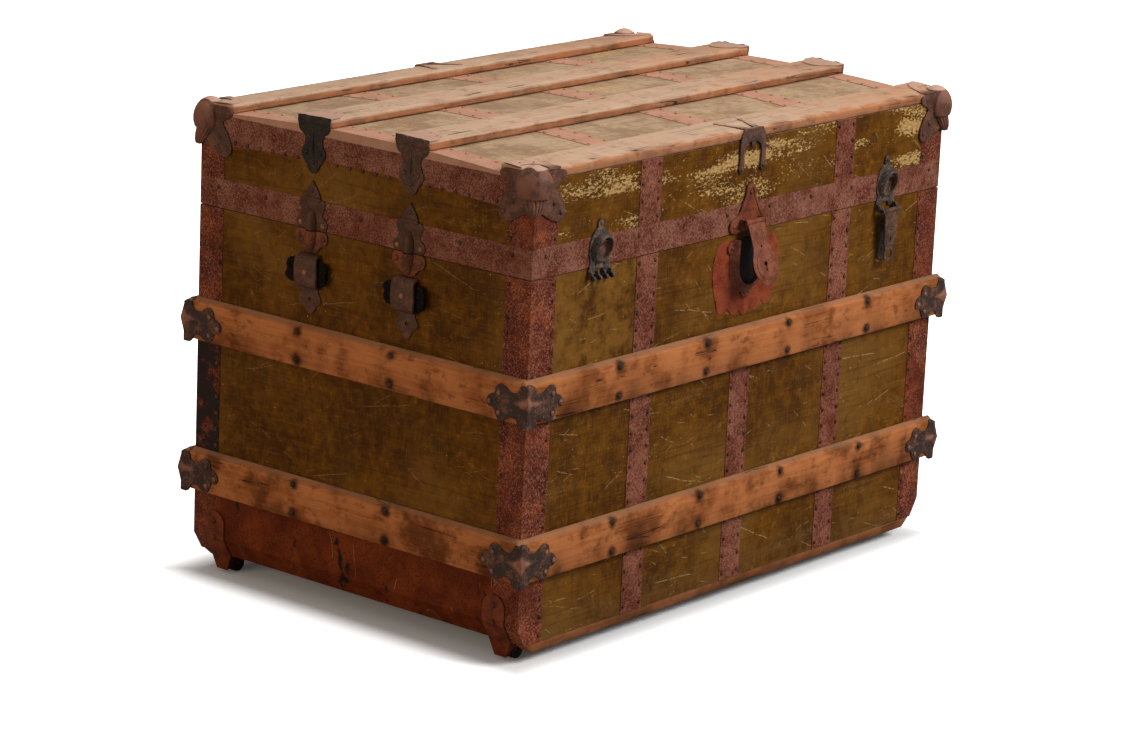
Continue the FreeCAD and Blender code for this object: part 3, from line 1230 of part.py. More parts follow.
lever = cut(
    "latch_lever",
    fuse(
        "lever_blank",
        rod("lever_barrel", "x", LEVER_AXIS, "lever_barrel_radius", *across(lever_middle, "lever_width")),
        plate("lever_upper", "XZ", upper_lever, *lever_y),
        plate("lever_lower", "XZ", lower_lever, *lever_foot_y),
        box("lever_step_block", lever_foot_x, step_in, (step_z, f"{step_z} + lever_metal")),
    ),
    rod("lever_bore", "x", LEVER_AXIS, "lever_pin_radius + running_gap", *lever_pin_x),
    box("lever_cross_tall", cross_slot_x, lever_y, across(cross_z, "lever_cross")),
    box("lever_cross_wide", cross_x, lever_y, across(cross_z, "lever_cross_slot")),
    box("lever_window", across(lever_middle, "0.3 * lever_foot_width"), step_in, window_z),
)
subpart("latch_lever", lever)

catch_y = ("-(half_depth + catch_plate)", "-half_depth")
stud_y = ("-(half_depth + 1.75 * catch_plate)", "-half_depth")
stud_at = (lever_middle, "catch_top - catch_width / 2")
catch = fuse(
    "latch_catch",
    box("catch_plate", across(lever_middle, "catch_width"), catch_y, ("catch_bottom", "catch_top")),
    rod("catch_foot", "y", (lever_middle, "catch_bottom"), "catch_width / 2", *catch_y),
    rod("catch_stud", "y", stud_at, "catch_width / 6", *stud_y),
)
subpart("latch_catch", catch)

# ---------------------------------------------------------------- check and write

doc.recompute()
for feature in doc.Objects:
    if {"Invalid", "Error"} & set(feature.State):
        raise RuntimeError(f"{feature.Name} failed: {feature.State}")
os.makedirs("parts", exist_ok=True)
for feature in subparts:
    shape = feature.Shape
    if shape.isNull() or not shape.isValid() or not shape.Solids:
        raise RuntimeError(f"{feature.Label} has no valid shape")
for feature in subparts:
    shape = feature.Shape
    print(feature.Label, len(shape.Solids), "solids", round(shape.Volume), "mm3")
    shape.exportStep(f"parts/{feature.Label}.step")
print(len(subparts), "sub-parts")
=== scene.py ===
import math

import bpy
from mathutils import Matrix, Vector, noise


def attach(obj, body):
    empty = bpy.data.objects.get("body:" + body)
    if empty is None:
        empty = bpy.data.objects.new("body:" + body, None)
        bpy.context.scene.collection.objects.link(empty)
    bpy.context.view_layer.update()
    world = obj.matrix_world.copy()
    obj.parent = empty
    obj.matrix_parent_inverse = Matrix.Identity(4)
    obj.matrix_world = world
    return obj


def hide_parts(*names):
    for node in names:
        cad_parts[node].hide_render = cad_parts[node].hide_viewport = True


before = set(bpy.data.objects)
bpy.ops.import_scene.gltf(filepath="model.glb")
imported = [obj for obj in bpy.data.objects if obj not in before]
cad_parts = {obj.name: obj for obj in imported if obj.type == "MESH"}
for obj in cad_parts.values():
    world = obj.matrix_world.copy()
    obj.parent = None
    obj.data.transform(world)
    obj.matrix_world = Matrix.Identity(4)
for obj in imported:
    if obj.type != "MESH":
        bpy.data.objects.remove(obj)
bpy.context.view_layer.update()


# ---------------------------------------------------------------- camera
# A long lens looks at the near corner from a little above, so both the lock side and the left end show. The
# view is turned by a small roll.
LENS = 125.86
SENSOR = 36
SIGHT = Vector((0, 0.0079, 0.2420))
DISTANCE = 5.3776
AZIMUTH, ELEVATION, ROLL = (math.radians(angle) for angle in (-50.842, 14.740, 2.548))

away = Vector((
    math.sin(AZIMUTH) * math.cos(ELEVATION),
    -math.cos(AZIMUTH) * math.cos(ELEVATION),
    math.sin(ELEVATION),
))
bpy.ops.object.camera_add(location=SIGHT + DISTANCE * away)
camera = bpy.context.object
camera.rotation_euler = (away.to_track_quat("Z", "Y").to_matrix() @ Matrix.Rotation(ROLL, 3, "Z")).to_euler()
camera.data.lens = LENS
camera.data.sensor_width = SENSOR
camera.data.clip_end = 30
bpy.context.scene.camera = camera
bpy.context.scene.view_settings.view_transform = "Standard"


# ---------------------------------------------------------------- studio
# A plain white floor and backdrop. The floor shows white to the camera and keeps the trunk's shadow; soft
# lamps stand above, before the lock side and, weaker, before the left end.


class Tone:
    """A number that varies over a surface. Python's operators on it make the Math nodes."""

    def __init__(self, finish, socket):
        self.finish = finish
        self.socket = socket

    def math(self, operation, first, second):
        return self.finish.node("ShaderNodeMath", {"operation": operation}, {0: first, 1: second})

    def __add__(self, other):
        return self.math("ADD", self, other)

    __radd__ = __add__

    def __sub__(self, other):
        return self.math("SUBTRACT", self, other)

    def __rsub__(self, other):
        return self.math("SUBTRACT", other, self)

    def __mul__(self, other):
        return self.math("MULTIPLY", self, other)

    __rmul__ = __mul__

    def __abs__(self):
        return self.math("ABSOLUTE", self, 0.0)

    def least(self, other):
        return self.math("MINIMUM", self, other)

    def most(self, other):
        return self.math("MAXIMUM", self, other)

    def above(self, low, high):
        """0 below low, 1 above high; the other way round when high is the smaller one."""
        settings = {"interpolation_type": "SMOOTHSTEP"}
        return self.finish.node("ShaderNodeMapRange", settings, {0: self, 1: low, 2: high})


class Finish:
    """A material on the trunk's own coordinates, in metres."""

    def __init__(self, name, gloss=0.08):
        self.material = bpy.data.materials.new(name)
        self.material.use_nodes = True
        self.tree = self.material.node_tree
        self.shader = self.tree.nodes["Principled BSDF"]
        self.shader.inputs["Specular IOR Level"].default_value = gloss
        self.place = self.node("ShaderNodeTexCoord", output="Object")
        self.x, self.y, self.z = (self.part(self.place, which) for which in range(3))

    def node(self, kind, settings=None, sockets=None, output=0):
        made = self.tree.nodes.new(kind)
        for name, value in (settings or {}).items():
            setattr(made, name, value)
        for key, value in (sockets or {}).items():
            if isinstance(value, Tone):
                self.tree.links.new(value.socket, made.inputs[key])
            elif isinstance(value, tuple) and len(made.inputs[key].default_value) == 4:
                made.inputs[key].default_value = (*value, 1.0)
            else:
                made.inputs[key].default_value = value
        return Tone(self, made.outputs[output])

    def part(self, vector, which):
        """One of a vector's three numbers."""
        return self.node("ShaderNodeSeparateXYZ", None, {0: vector}, which)

    def scaled(self, size, shift=0.0):
        """The coordinates in units of size, which is one length or one for each axis."""
        sizes = size if isinstance(size, tuple) else (size,) * 3
        per_unit = tuple(1 / length for length in sizes)
        return self.node("ShaderNodeVectorMath", {"operation": "MULTIPLY_ADD"},
                         {0: self.place, 1: per_unit, 2: (shift, shift, shift)})

    def noise(self, size, detail=3.0, roughness=0.5, shift=0.0):
        return self.node("ShaderNodeTexNoise", None, {
            "Vector": self.scaled(size, shift), "Scale": 1.0, "Detail": detail, "Roughness": roughness})

    def scores(self, size, least):
        """Straight thin scratches, one in some of the cells of a size, each at its own slant."""
        flat = self.node("ShaderNodeCombineXYZ", None,
                         {0: (self.x + self.y) * (1 / size), 1: self.z * (1 / size)})
        cells = {"Vector": flat, "Scale": 1.0}
        middle, chance = (self.node("ShaderNodeTexVoronoi", {"voronoi_dimensions": "2D"}, cells, output)
                          for output in ("Position", "Color"))
        inside = self.node("ShaderNodeVectorMath", {"operation": "SUBTRACT"}, {0: flat, 1: middle})
        slant = {"Vector": inside, "Angle": (self.part(chance, 1) - 0.40) * 1.5}
        slanted = self.node("ShaderNodeVectorRotate", {"rotation_type": "Z_AXIS"}, slant)
        along, across = abs(self.part(slanted, 0)), self.part(slanted, 1)
        thin = abs(across + 0.10 * (self.noise(0.6 * size) - 0.5)).above(0.0008 / size, 0.0003 / size)
        return thin * along.above(0.42, 0.25) * self.part(chance, 0).above(least, least + 0.02)

    def cracks(self, size):
        """Distance to the nearest edge of irregular cells, in units of size."""
        return self.node("ShaderNodeTexVoronoi", {"feature": "DISTANCE_TO_EDGE"},
                         {"Vector": self.scaled(size), "Scale": 1.0})

    def dots(self, size, shift):
        """Distance to the nearest of scattered points, in units of size."""
        return self.node("ShaderNodeTexVoronoi", None, {"Vector": self.scaled(size, shift), "Scale": 1.0})

    def mix(self, mask, first, second):
        return self.node("ShaderNodeMix", {"data_type": "RGBA"}, {0: mask, 6: first, 7: second}, 2)

    def surface(self, colour, roughness, height, depth):
        """Feeds the shader. Height is a number over the surface, and depth what 1 of it is, in metres."""
        self.tree.links.new(colour.socket, self.shader.inputs["Base Color"])
        self.tree.links.new(roughness.socket, self.shader.inputs["Roughness"])
        bump = self.node("ShaderNodeBump", None, {"Strength": 1.0, "Distance": depth, "Height": height})
        self.tree.links.new(bump.socket, self.shader.inputs["Normal"])
        return self

    def on(self, *names):
        """Gives this finish to nodes of the model, by name, or to new pieces."""
        for name in names:
            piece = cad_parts[name] if isinstance(name, str) else name
            if not piece.material_slots:
                piece.data.materials.append(self.material)
            for place in piece.material_slots:
                place.material = self.material
        return self


FLOOR_SIZE, FOOTPRINT_X, FOOTPRINT_Y = 30, 0.43, 0.28
FLOOR_GLOW, NEAR_GLOW, FAR_GLOW, FLOOR_BOUNCE = 0.03, 0.70, 0.40, 0.30
LAMPS = [
    # place, size, watts, colour
    ((1.6, -3.6, 3.2), 2.2, 185, (1, 1, 1)),
    ((0.3, 0.2, 3.8), 2.4, 60, (1, 1, 1)),
    ((-4.2, 1.0, 1.0), 2.4, 47, (1, 0.76, 0.50)),
]
LAMP_AIM = Vector((0, 0, 0.3))
WORLD_LIGHT = 0.26

bpy.ops.object.select_all(action="DESELECT")
bpy.ops.mesh.primitive_plane_add(size=FLOOR_SIZE)
floor = bpy.context.object
floor.name = "studio_floor"
paper = Finish("studio_paper")
paper.shader.inputs["Roughness"].default_value = 0.95
seen = paper.node("ShaderNodeLightPath", output="Is Camera Ray")
shade = paper.mix(seen, (FLOOR_BOUNCE,) * 3, (1.0, 1.0, 1.0))
paper.tree.links.new(shade.socket, paper.shader.inputs["Base Color"])
distance = (abs(paper.x) - FOOTPRINT_X).most(abs(paper.y) - FOOTPRINT_Y)
strength = seen * (FLOOR_GLOW + NEAR_GLOW * distance.above(0.0, 0.055) + FAR_GLOW * distance.above(0.06, 0.6))
glow = paper.node("ShaderNodeEmission", None, {"Color": (1.0, 1.0, 1.0), "Strength": strength})
lit = paper.node("ShaderNodeAddShader", None, {0: Tone(paper, paper.shader.outputs[0]), 1: glow})
paper.tree.links.new(lit.socket, paper.tree.nodes["Material Output"].inputs["Surface"])
paper.on(floor)

for place, size, watts, colour in LAMPS:
    bpy.ops.object.light_add(type="AREA", location=place)
    lamp = bpy.context.object
    lamp.data.shape = "DISK"
    lamp.data.size = size
    lamp.data.energy = watts
    lamp.data.color = colour
    lamp.rotation_euler = (Vector(place) - LAMP_AIM).to_track_quat("Z", "Y").to_euler()

world = bpy.data.worlds.new("studio_air")
bpy.context.scene.world = world
world.use_nodes = True
nodes, link = world.node_tree.nodes, world.node_tree.links.new
rays, shown, level = (nodes.new(f"ShaderNode{kind}") for kind in ("LightPath", "Math", "MapRange"))
shown.operation = "MAXIMUM"
level.inputs["To Min"].default_value = WORLD_LIGHT
level.inputs["To Max"].default_value = 1.0
link(rays.outputs["Is Camera Ray"], shown.inputs[0])
link(rays.outputs["Is Transmission Ray"], shown.inputs[1])
link(shown.outputs[0], level.inputs["Value"])
nodes["Background"].inputs["Color"].default_value = (1, 1, 1, 1)
link(level.outputs[0], nodes["Background"].inputs["Strength"])


# ---------------------------------------------------------------- boards
# The box and lid are thin pine boards, glued and nailed. They show at the seam, underneath and where the
# paper inside has a gap.
PINE_PALE, PINE_DARK, PINE_DIRT = (0.30, 0.17, 0.075), (0.19, 0.095, 0.038), (0.06, 0.033, 0.017)

pine = Finish("bare_pine")
grain = pine.noise((0.30, 0.008, 0.008), 4)
fibre = pine.noise((0.05, 0.0011, 0.0011), 2)
dirt = pine.noise(0.07, 4)
timber = pine.mix(grain.above(0.36, 0.66), PINE_PALE, PINE_DARK)
timber = pine.mix(dirt.above(0.5, 0.72), timber, PINE_DIRT)
pine.surface(timber, 0.62 + 0.25 * fibre, fibre + 0.5 * grain, 0.0004)
pine.on("front_board", "back_board", "left_end_board", "right_end_board", "floor_board",
        "lid_top_board", "lid_front_board", "lid_back_board", "lid_end_boards")


# ---------------------------------------------------------------- painted canvas
# The boards are covered with glued canvas under a dark olive-brown paint. The paint has flaked to its cream
# ground on the lid's front, is scratched lower down, and dust has bleached the top.
OLIVE, OLIVE_DEEP, OLIVE_PALE = (0.138, 0.048, 0.0010), (0.064, 0.020, 0.0004), (0.25, 0.115, 0.020)
MUD = (0.12, 0.062, 0.022)
CREAM, CREAM_DIRTY = (0.60, 0.38, 0.145), (0.40, 0.23, 0.08)
TOP_GREY, TOP_BROWN = (0.43, 0.295, 0.180), (0.28, 0.170, 0.100)
SCRATCH = (0.50, 0.33, 0.15)
CANVAS_FRONT, CANVAS_TOP = 0.2815, 0.6180


def painted_canvas(name, flaking):
    """Flaking is how much of the paint has come off the front, 0 to 1."""
    cloth = Finish(name)
    thread = cloth.noise((0.0016, 0.0016, 0.03), 2) + cloth.noise((0.03, 0.03, 0.0014), 2, 0.5, 3.0)
    mottle = cloth.noise(0.05, 5, 0.6)
    streak = cloth.noise((0.12, 0.12, 0.004), 4, 0.6, 7.0)
    cloud = cloth.noise(0.22, 3, 0.5, 11.0)
    grime = cloth.noise(0.012, 4, 0.65, 13.0)
    paint = cloth.mix((mottle * 0.5 + grime * 0.5).above(0.39, 0.60), OLIVE_DEEP, OLIVE)
    paint = cloth.mix(cloud.above(0.45, 0.72) * 0.5, paint, OLIVE_PALE)
    paint = cloth.mix(streak.above(0.50, 0.70) * 0.5, paint, OLIVE_DEEP)
    paint = cloth.mix(grime.above(0.56, 0.74) * mottle.above(0.45, 0.60) * 0.7, paint, OLIVE_PALE)
    paint = cloth.mix(thread.above(1.02, 1.30) * 0.30, paint, OLIVE_PALE)
    paint = cloth.mix(cloth.noise(0.020, 4, 0.7, 31.0).above(0.53, 0.66) * 0.45, paint, OLIVE_DEEP)
    muddy = (cloth.z + 0.06 * (cloud - 0.5)).above(0.085, 0.030) * grime.above(0.35, 0.60)
    paint = cloth.mix(muddy * 0.5, paint, MUD)
    front = (0.0 - cloth.y).above(CANVAS_FRONT - 0.001, CANVAS_FRONT)
    dusty = front * cloth.x.above(-0.19, -0.24) * cloth.z.above(0.30, 0.36) * cloth.z.above(0.505, 0.49)
    dusty = dusty * (mottle * 0.5 + grime * 0.5).above(0.35, 0.60)
    paint = cloth.mix(dusty * 0.5, paint, OLIVE_PALE)
    top = cloth.z.above(CANVAS_TOP - 0.001, CANVAS_TOP + 0.001) * (1.0 - front)
    aged = cloth.mix((mottle * 0.6 + grime * 0.4).above(0.40, 0.60), TOP_BROWN, TOP_GREY)
    aged = cloth.mix(cloth.noise((0.16, 0.004, 0.02), 4, 0.65, 5.0).above(0.48, 0.66) * 0.6, aged, TOP_BROWN)
    aged = cloth.mix(grime.above(0.60, 0.72) * 0.6, aged, (0.12, 0.066, 0.034))
    paint = cloth.mix(top, paint, aged)
    cluster = cloth.noise((0.13, 0.08, 0.030), 4, 0.55, 2.0)
    chip = cloth.noise((0.0065, 0.006, 0.0032), 5, 0.74)
    rightwards = cloth.x.above(-0.40, 0.15)
    bare = cluster + chip * 0.90 + front * (0.06 * flaking) + rightwards * (0.05 * flaking)
    flake = bare.above(1.118, 1.145) * (0.10 + front * 0.90).most(top * 0.5) * flaking
    cream = cloth.mix(chip.above(0.45, 0.62), CREAM_DIRTY, CREAM)
    colour = cloth.mix(flake * 0.9, paint, cream)
    line = cloth.scores(0.115, 0.50).most(cloth.scores(0.052, 0.66) * 0.8)
    line = line.most(cloth.scores(0.021, 0.80) * 0.7) * (0.45 + 0.55 * front)
    line = line * cloth.noise(0.0045, 2).above(0.36, 0.56)
    speck = cloth.dots(0.011, 4.0).above(0.10, 0.055) * cloth.noise(0.09, 3, 0.5, 21.0).above(0.52, 0.62)
    colour = cloth.mix((line * 0.60).most(speck * 0.75), colour, SCRATCH)
    height = 0.5 * thread - 0.8 * flake + 0.4 * mottle
    return cloth.surface(colour, 0.50 + 0.22 * mottle + 0.15 * flake + 0.15 * top, height, 0.00035)


painted_canvas("painted_canvas_body", 0.10).on("body_canvas")
painted_canvas("painted_canvas_lid", 1.0).on("lid_canvas")


# ---------------------------------------------------------------- paper lining
# The box and the lid are papered inside with plain buff paper, pasted onto the boards. Damp has stained it,
# and it is rubbed through in places.
BUFF, BUFF_STAIN, BUFF_DARK = (0.52, 0.40, 0.25), (0.33, 0.21, 0.11), (0.16, 0.095, 0.05)

lining = Finish("buff_paper_lining")
stain = lining.noise(0.16, 5, 0.6)
rubbed = lining.noise(0.02, 4, 0.6, 5.0)
tideline = lining.noise(0.3, 2, 0.5, 8.0)
sheet = lining.mix(stain.above(0.45, 0.75), BUFF, BUFF_STAIN)
sheet = lining.mix(tideline.above(0.505, 0.51) * tideline.above(0.56, 0.51) * 0.35, sheet, BUFF_STAIN)
sheet = lining.mix(rubbed.above(0.66, 0.72), sheet, BUFF_DARK)
lining.surface(sheet, 0.75 + 0.2 * rubbed, stain + 0.3 * rubbed, 0.0008)
lining.on("body_lining", "lid_lining")


# ---------------------------------------------------------------- sheet metal
# Bindings, straps and bands are thin tinned sheet, nailed on and now rusted through the tin: a purplish
# red-brown with fine pale pitting, redder at the near corner, and bleached with dust where it faces up.
PIT = (0.31, 0.155, 0.11)
TOP_DUST = (0.54, 0.285, 0.18)
BLACK_PAINT = (0.012, 0.009, 0.008)
LID_SHEET = 0.6194


def rusted_sheet(name, deep, light, pitting=0.5, black=0.0):
    """Deep and light are the rust's colours, pitting how speckled it is, black how much paint is left."""
    iron = Finish(name, 0.16)
    blotch = iron.noise(0.030, 5, 0.6)
    grit = iron.noise(0.0022, 3, 0.6)
    fine = iron.noise(0.0012, 2, 0.5, 6.0)
    patch = iron.noise(0.11, 3, 0.5, 3.0)
    rust = iron.mix(blotch.above(0.34, 0.66), deep, light)
    rust = iron.mix(grit.above(0.51, 0.38) * 0.65, rust, tuple(0.30 * part for part in deep))
    rust = iron.mix(grit.above(0.52, 0.62) * patch.above(0.25, 0.52) * (0.8 * pitting), rust, PIT)
    old_paint = (blotch * 0.6 + grit * 0.2 + patch * 0.2).above(0.60 - 0.25 * black, 0.57 - 0.25 * black)
    back_left = iron.y.above(0.20, 0.23) * (0.0 - iron.x).above(0.38, 0.42)
    between_slats = iron.z.above(0.33, 0.31) * iron.z.above(0.15, 0.17)
    stained = back_left * between_slats * (blotch * 0.75 + grit * 0.25).above(0.44, 0.48)
    rust = iron.mix((old_paint * black).most(stained * min(1, 6 * black)), rust, BLACK_PAINT)
    top = iron.z.above(LID_SHEET, LID_SHEET + 0.001)
    rust = iron.mix(top * (0.45 + 0.5 * blotch), rust, TOP_DUST)
    return iron.surface(rust, 0.55 + 0.3 * grit, 0.6 * grit + 0.4 * fine + 0.8 * blotch, 0.0006)


band_rust = rusted_sheet("rusted_band", (0.140, 0.030, 0.011), (0.26, 0.095, 0.058), 0.7)
band_rust.on("lid_rim_band", "lid_end_bands")
strap_rust = rusted_sheet("rusted_strap", (0.138, 0.028, 0.010), (0.26, 0.082, 0.044), 0.6)
strap_rust.on("body_straps", "lid_straps")
corner_rust = rusted_sheet("rusted_corner", (0.122, 0.013, 0.001), (0.250, 0.050, 0.012), 0.85, 0.16)
corner_rust.on("body_corner_bindings", "lid_corner_bindings")


# ---------------------------------------------------------------- end aprons
# A plain sheet closes the foot of each end. It is rusted deep red-brown, with black stains and bright
# scratches.
apron = Finish("apron_rust")
blotch = apron.noise(0.05, 5, 0.6)
grit = apron.noise(0.003, 3, 0.6)
blacked = apron.noise((0.03, 0.03, 0.05), 4, 0.6, 4.0)
scored = abs(apron.noise((0.06, 0.06, 0.16), 1, 0.3, 2.0) - 0.5).above(0.004, 0.0015)
scored = scored * apron.noise(0.03, 2).above(0.55, 0.62)
rust = apron.mix(blotch.above(0.32, 0.68), (0.095, 0.013, 0.002), (0.19, 0.036, 0.006))
rust = apron.mix(grit.above(0.50, 0.36) * 0.6, rust, (0.035, 0.008, 0.003))
rust = apron.mix(blacked.above(0.60, 0.68), rust, (0.014, 0.008, 0.006))
rust = apron.mix(scored * 0.6, rust, (0.42, 0.25, 0.14))
apron.surface(rust, 0.42 + 0.3 * grit, grit + blotch, 0.0005)
apron.on("end_aprons")


# ---------------------------------------------------------------- body slats
# Two belts of ash slats are nailed round the body. Their faces are worn orange-brown with long grain, the
# sloped upper edge is grey, and every nail has a dark stain round it.
WOOD_LIGHT, WOOD_MID, WOOD_DARK = (0.49, 0.168, 0.055), (0.345, 0.104, 0.027), (0.105, 0.028, 0.006)
WOOD_GREY, WOOD_BLEACHED, NAIL_STAIN = (0.27, 0.140, 0.075), (0.50, 0.345, 0.235), (0.020, 0.010, 0.006)
WOOD_DIRTY = (0.085, 0.038, 0.018)
SLAT_NAILS_FRONT = (-0.266, -0.087, 0.087, 0.266)
SLAT_NAILS_END = (-0.067, 0.094)
SLAT_LEVELS = {"lower": (0.114, 0.170), "upper": (0.318, 0.374)}
NAIL_ROWS = (0.008, 0.046)
SLAT_FACE_X, SLAT_FACE_Y, GREY_EDGE = 0.444, 0.294, 0.0035
# The lower belt and the end slats are painted darker. This is painted shade where less light falls on them,
# with some dirt low down.
LOWER_PAINTED_SHADE_AND_DIRT, END_PAINTED_SHADE = 0.18, 0.16
SLAT_ROUNDING, SLAT_CHIPS = 1.2, 1.8


def slat_wood(name, along, nails, grey_from, painted_shade_and_dirt=0.0, weathered=WOOD_GREY, dirt=0.0):
    """Wood with its grain along one axis, stained round its nails and weathered above a height."""
    def grained(length, width):
        return tuple(length if axis == along else width for axis in "xyz")

    wood = Finish(name)
    figure = wood.noise(grained(0.35, 0.007), 5, 0.6)
    fibre = wood.noise(grained(0.06, 0.0011), 3, 0.6, 2.0)
    blotch = wood.noise(0.06, 4, 0.6, 6.0)
    wear = wood.noise((0.03, 0.03, 0.012), 4, 0.6, 8.0)
    smudge = wood.noise((0.022, 0.022, 0.014), 5, 0.65, 12.0)
    colour = wood.mix((figure * 0.45 + blotch * 0.55).above(0.38, 0.62), WOOD_LIGHT, WOOD_MID)
    colour = wood.mix(fibre.above(0.54, 0.72) * 0.45, colour, WOOD_DARK)
    # The extra darkening of the blotches is painted shade on the end slats and the lower belt, partly dirt
    # low down.
    colour = wood.mix(blotch.above(0.46, 0.68) * (0.50 + painted_shade_and_dirt), colour, WOOD_DARK)
    colour = wood.mix(smudge.above(0.52, 0.70) * 0.60, colour, WOOD_DARK)
    colour = wood.mix(dirt * (0.6 + 0.8 * blotch), colour, WOOD_DIRTY)
    grey = (wood.z + 0.004 * wear).above(grey_from, grey_from + 0.002)
    faded = grey * (0.15 + 0.7 * wear + 0.3 * fibre)
    if weathered == WOOD_BLEACHED:
        faded = (faded + 0.25 * grey).most(wear.above(0.50, 0.66) * 0.45).most(0.22)
        faded = faded * (1.0 - 0.35 * fibre.above(0.50, 0.62) - 0.35 * smudge.above(0.54, 0.70))
        faded = faded * (1.0 - 0.35 * wood.x.above(0.0, 0.42))
    colour = wood.mix(faded, colour, weathered)
    stain = None
    for nail in nails:
        ends = {0: wood.place, 1: nail}
        apart = wood.node("ShaderNodeVectorMath", {"operation": "DISTANCE"}, ends, "Value")
        stain = apart if stain is None else stain.least(apart)
    if nails:
        dark = (stain - 0.012 * wear).above(0.006, -0.003)
        colour = wood.mix(dark * 0.9, colour, NAIL_STAIN)
    split = abs(wood.noise(grained(0.45, 0.010), 1, 0.4, 1.7) - 0.5)
    split = split.above(0.010, 0.002) * blotch.above(0.50, 0.58)
    colour = wood.mix(split * 0.85, colour, NAIL_STAIN)
    height = 0.5 * fibre + 0.8 * figure - 1.2 * split
    return wood.surface(colour, 0.50 + 0.25 * fibre + 0.15 * grey, height, 0.0007)


MM = 0.001


def pick(*pieces):
    """Makes these pieces the only selected ones, and the first one active."""
    bpy.ops.object.select_all(action="DESELECT")
    for piece in pieces:
        piece.select_set(True)
    bpy.context.view_layer.objects.active = pieces[0]
    return pieces[0]


def added(name, data):
    """A new piece with this mesh or curve, picked."""
    piece = bpy.data.objects.new(name, data)
    bpy.context.collection.objects.link(piece)
    return pick(piece)


def edit_all(piece):
    """Opens a piece in edit mode with all of it selected."""
    pick(piece)
    bpy.ops.object.mode_set(mode="EDIT")
    bpy.ops.mesh.select_all(action="SELECT")


def stand_in(piece, node, body, finish):
    """Shows a piece, in its finish and on its body, in place of a node of the model."""
    finish.on(piece, node)
    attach(piece, body)
    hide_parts(node)


def worn(node, rounding, cuts=0, chips=0.0):
    """A node's own shape, its edges rubbed round and, along a slat, chipped by up to chips millimetres."""
    piece = added(f"{node}_worn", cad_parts[node].data.copy())
    edit_all(piece)
    bpy.ops.mesh.remove_doubles(threshold=0.005 * MM)
    bpy.ops.mesh.dissolve_limited(angle_limit=math.radians(1))
    bpy.ops.object.mode_set(mode="OBJECT")
    bevel = piece.modifiers.new("rubbed", "BEVEL")
    bevel.width = rounding * MM
    bevel.segments = 2
    bevel.limit_method = "ANGLE"
    bevel.angle_limit = math.radians(30)
    bpy.ops.object.modifier_apply(modifier=bevel.name)
    if cuts:
        bpy.ops.object.mode_set(mode="EDIT")
        bpy.ops.mesh.select_mode(type="EDGE")
        bpy.ops.mesh.select_all(action="DESELECT")
        bpy.ops.object.mode_set(mode="OBJECT")
        for edge in piece.data.edges:
            start, end = (piece.data.vertices[i].co for i in edge.vertices)
            edge.select = (start - end).length > 300 * MM
        bpy.ops.object.mode_set(mode="EDIT")
        bpy.ops.mesh.subdivide(number_cuts=cuts)
        bpy.ops.mesh.select_mode(type="VERT")
        bpy.ops.object.mode_set(mode="OBJECT")
        ways = [corner.normal.copy() for corner in piece.data.vertices]
        for corner, way in zip(piece.data.vertices, ways):
            place = corner.co / MM
            blunt = 1 - max(abs(part) for part in way)
            rough = noise.noise(place * 0.035) + 0.6 * noise.noise(place * 0.12) + 0.3
            corner.co -= way * MM * chips * max(0, rough) * min(1, 4 * blunt)
    bpy.ops.object.shade_smooth_by_angle(angle=math.radians(40))
    return piece


for level, (low, high) in SLAT_LEVELS.items():
    painted_shade_and_dirt = LOWER_PAINTED_SHADE_AND_DIRT if level == "lower" else 0.0
    rows = [low + rise for rise in NAIL_ROWS]
    for side, out in (("front", -1), ("back", 1), ("left", -1), ("right", 1)):
        node = f"{level}_{side}_slat"
        if side in ("front", "back"):
            slat = worn(node, SLAT_ROUNDING, cuts=130, chips=SLAT_CHIPS)
            nails = [(x, out * SLAT_FACE_Y, z) for x in SLAT_NAILS_FRONT for z in rows]
            wood = slat_wood(f"wood_{node}", "x", nails, high - GREY_EDGE, painted_shade_and_dirt)
        else:
            slat = worn(node, SLAT_ROUNDING, cuts=85, chips=SLAT_CHIPS)
            nails = [(out * SLAT_FACE_X, y, z) for y in SLAT_NAILS_END for z in rows]
            # End slats get more painted shade, as the end faces away from the light.
            wood = slat_wood(f"wood_{node}", "y", nails, high - GREY_EDGE, painted_shade_and_dirt + END_PAINTED_SHADE)
        stand_in(slat, node, "trunk_body", wood)


# ---------------------------------------------------------------- lid slats and runners
# Four slats run along the lid, bleached by dust on top and still orange at the front, and a plain strip of
# wood runs under each long side.
OUTER_BLEACHED, INNER_BLEACHED, LID_SLAT_ROUNDING, RUNNER_ROUNDING = 0.6330, 0.6400, 2.2, 1.4

for place, bleached_from in (("front", OUTER_BLEACHED), ("back", OUTER_BLEACHED),
                             ("inner_front", INNER_BLEACHED), ("inner_back", INNER_BLEACHED)):
    node = f"lid_{place}_slat"
    wood = slat_wood(f"wood_{node}", "x", [], bleached_from, 0.0, WOOD_BLEACHED, 0.12)
    stand_in(worn(node, LID_SLAT_ROUNDING, cuts=150, chips=1.0), node, "lid", wood)
wood = slat_wood("wood_bottom_runners", "x", [], 0.5, 0.0, WOOD_DIRTY, 0.6)
runners = worn("bottom_runners", RUNNER_ROUNDING, cuts=150, chips=1.0)
stand_in(runners, "bottom_runners", "trunk_body", wood)


# ---------------------------------------------------------------- slat corners
# Malleable iron angles, cast in a scalloped outline with a four-pointed star, cover the corners where the
# slats meet. Each is fixed with three rivets to a wing.
PALE_ABOVE, PALE_WITHIN = 0.6335, 0.4345
SLAT_SKIN_X, SLAT_SKIN_Y = 0.4428, 0.2928


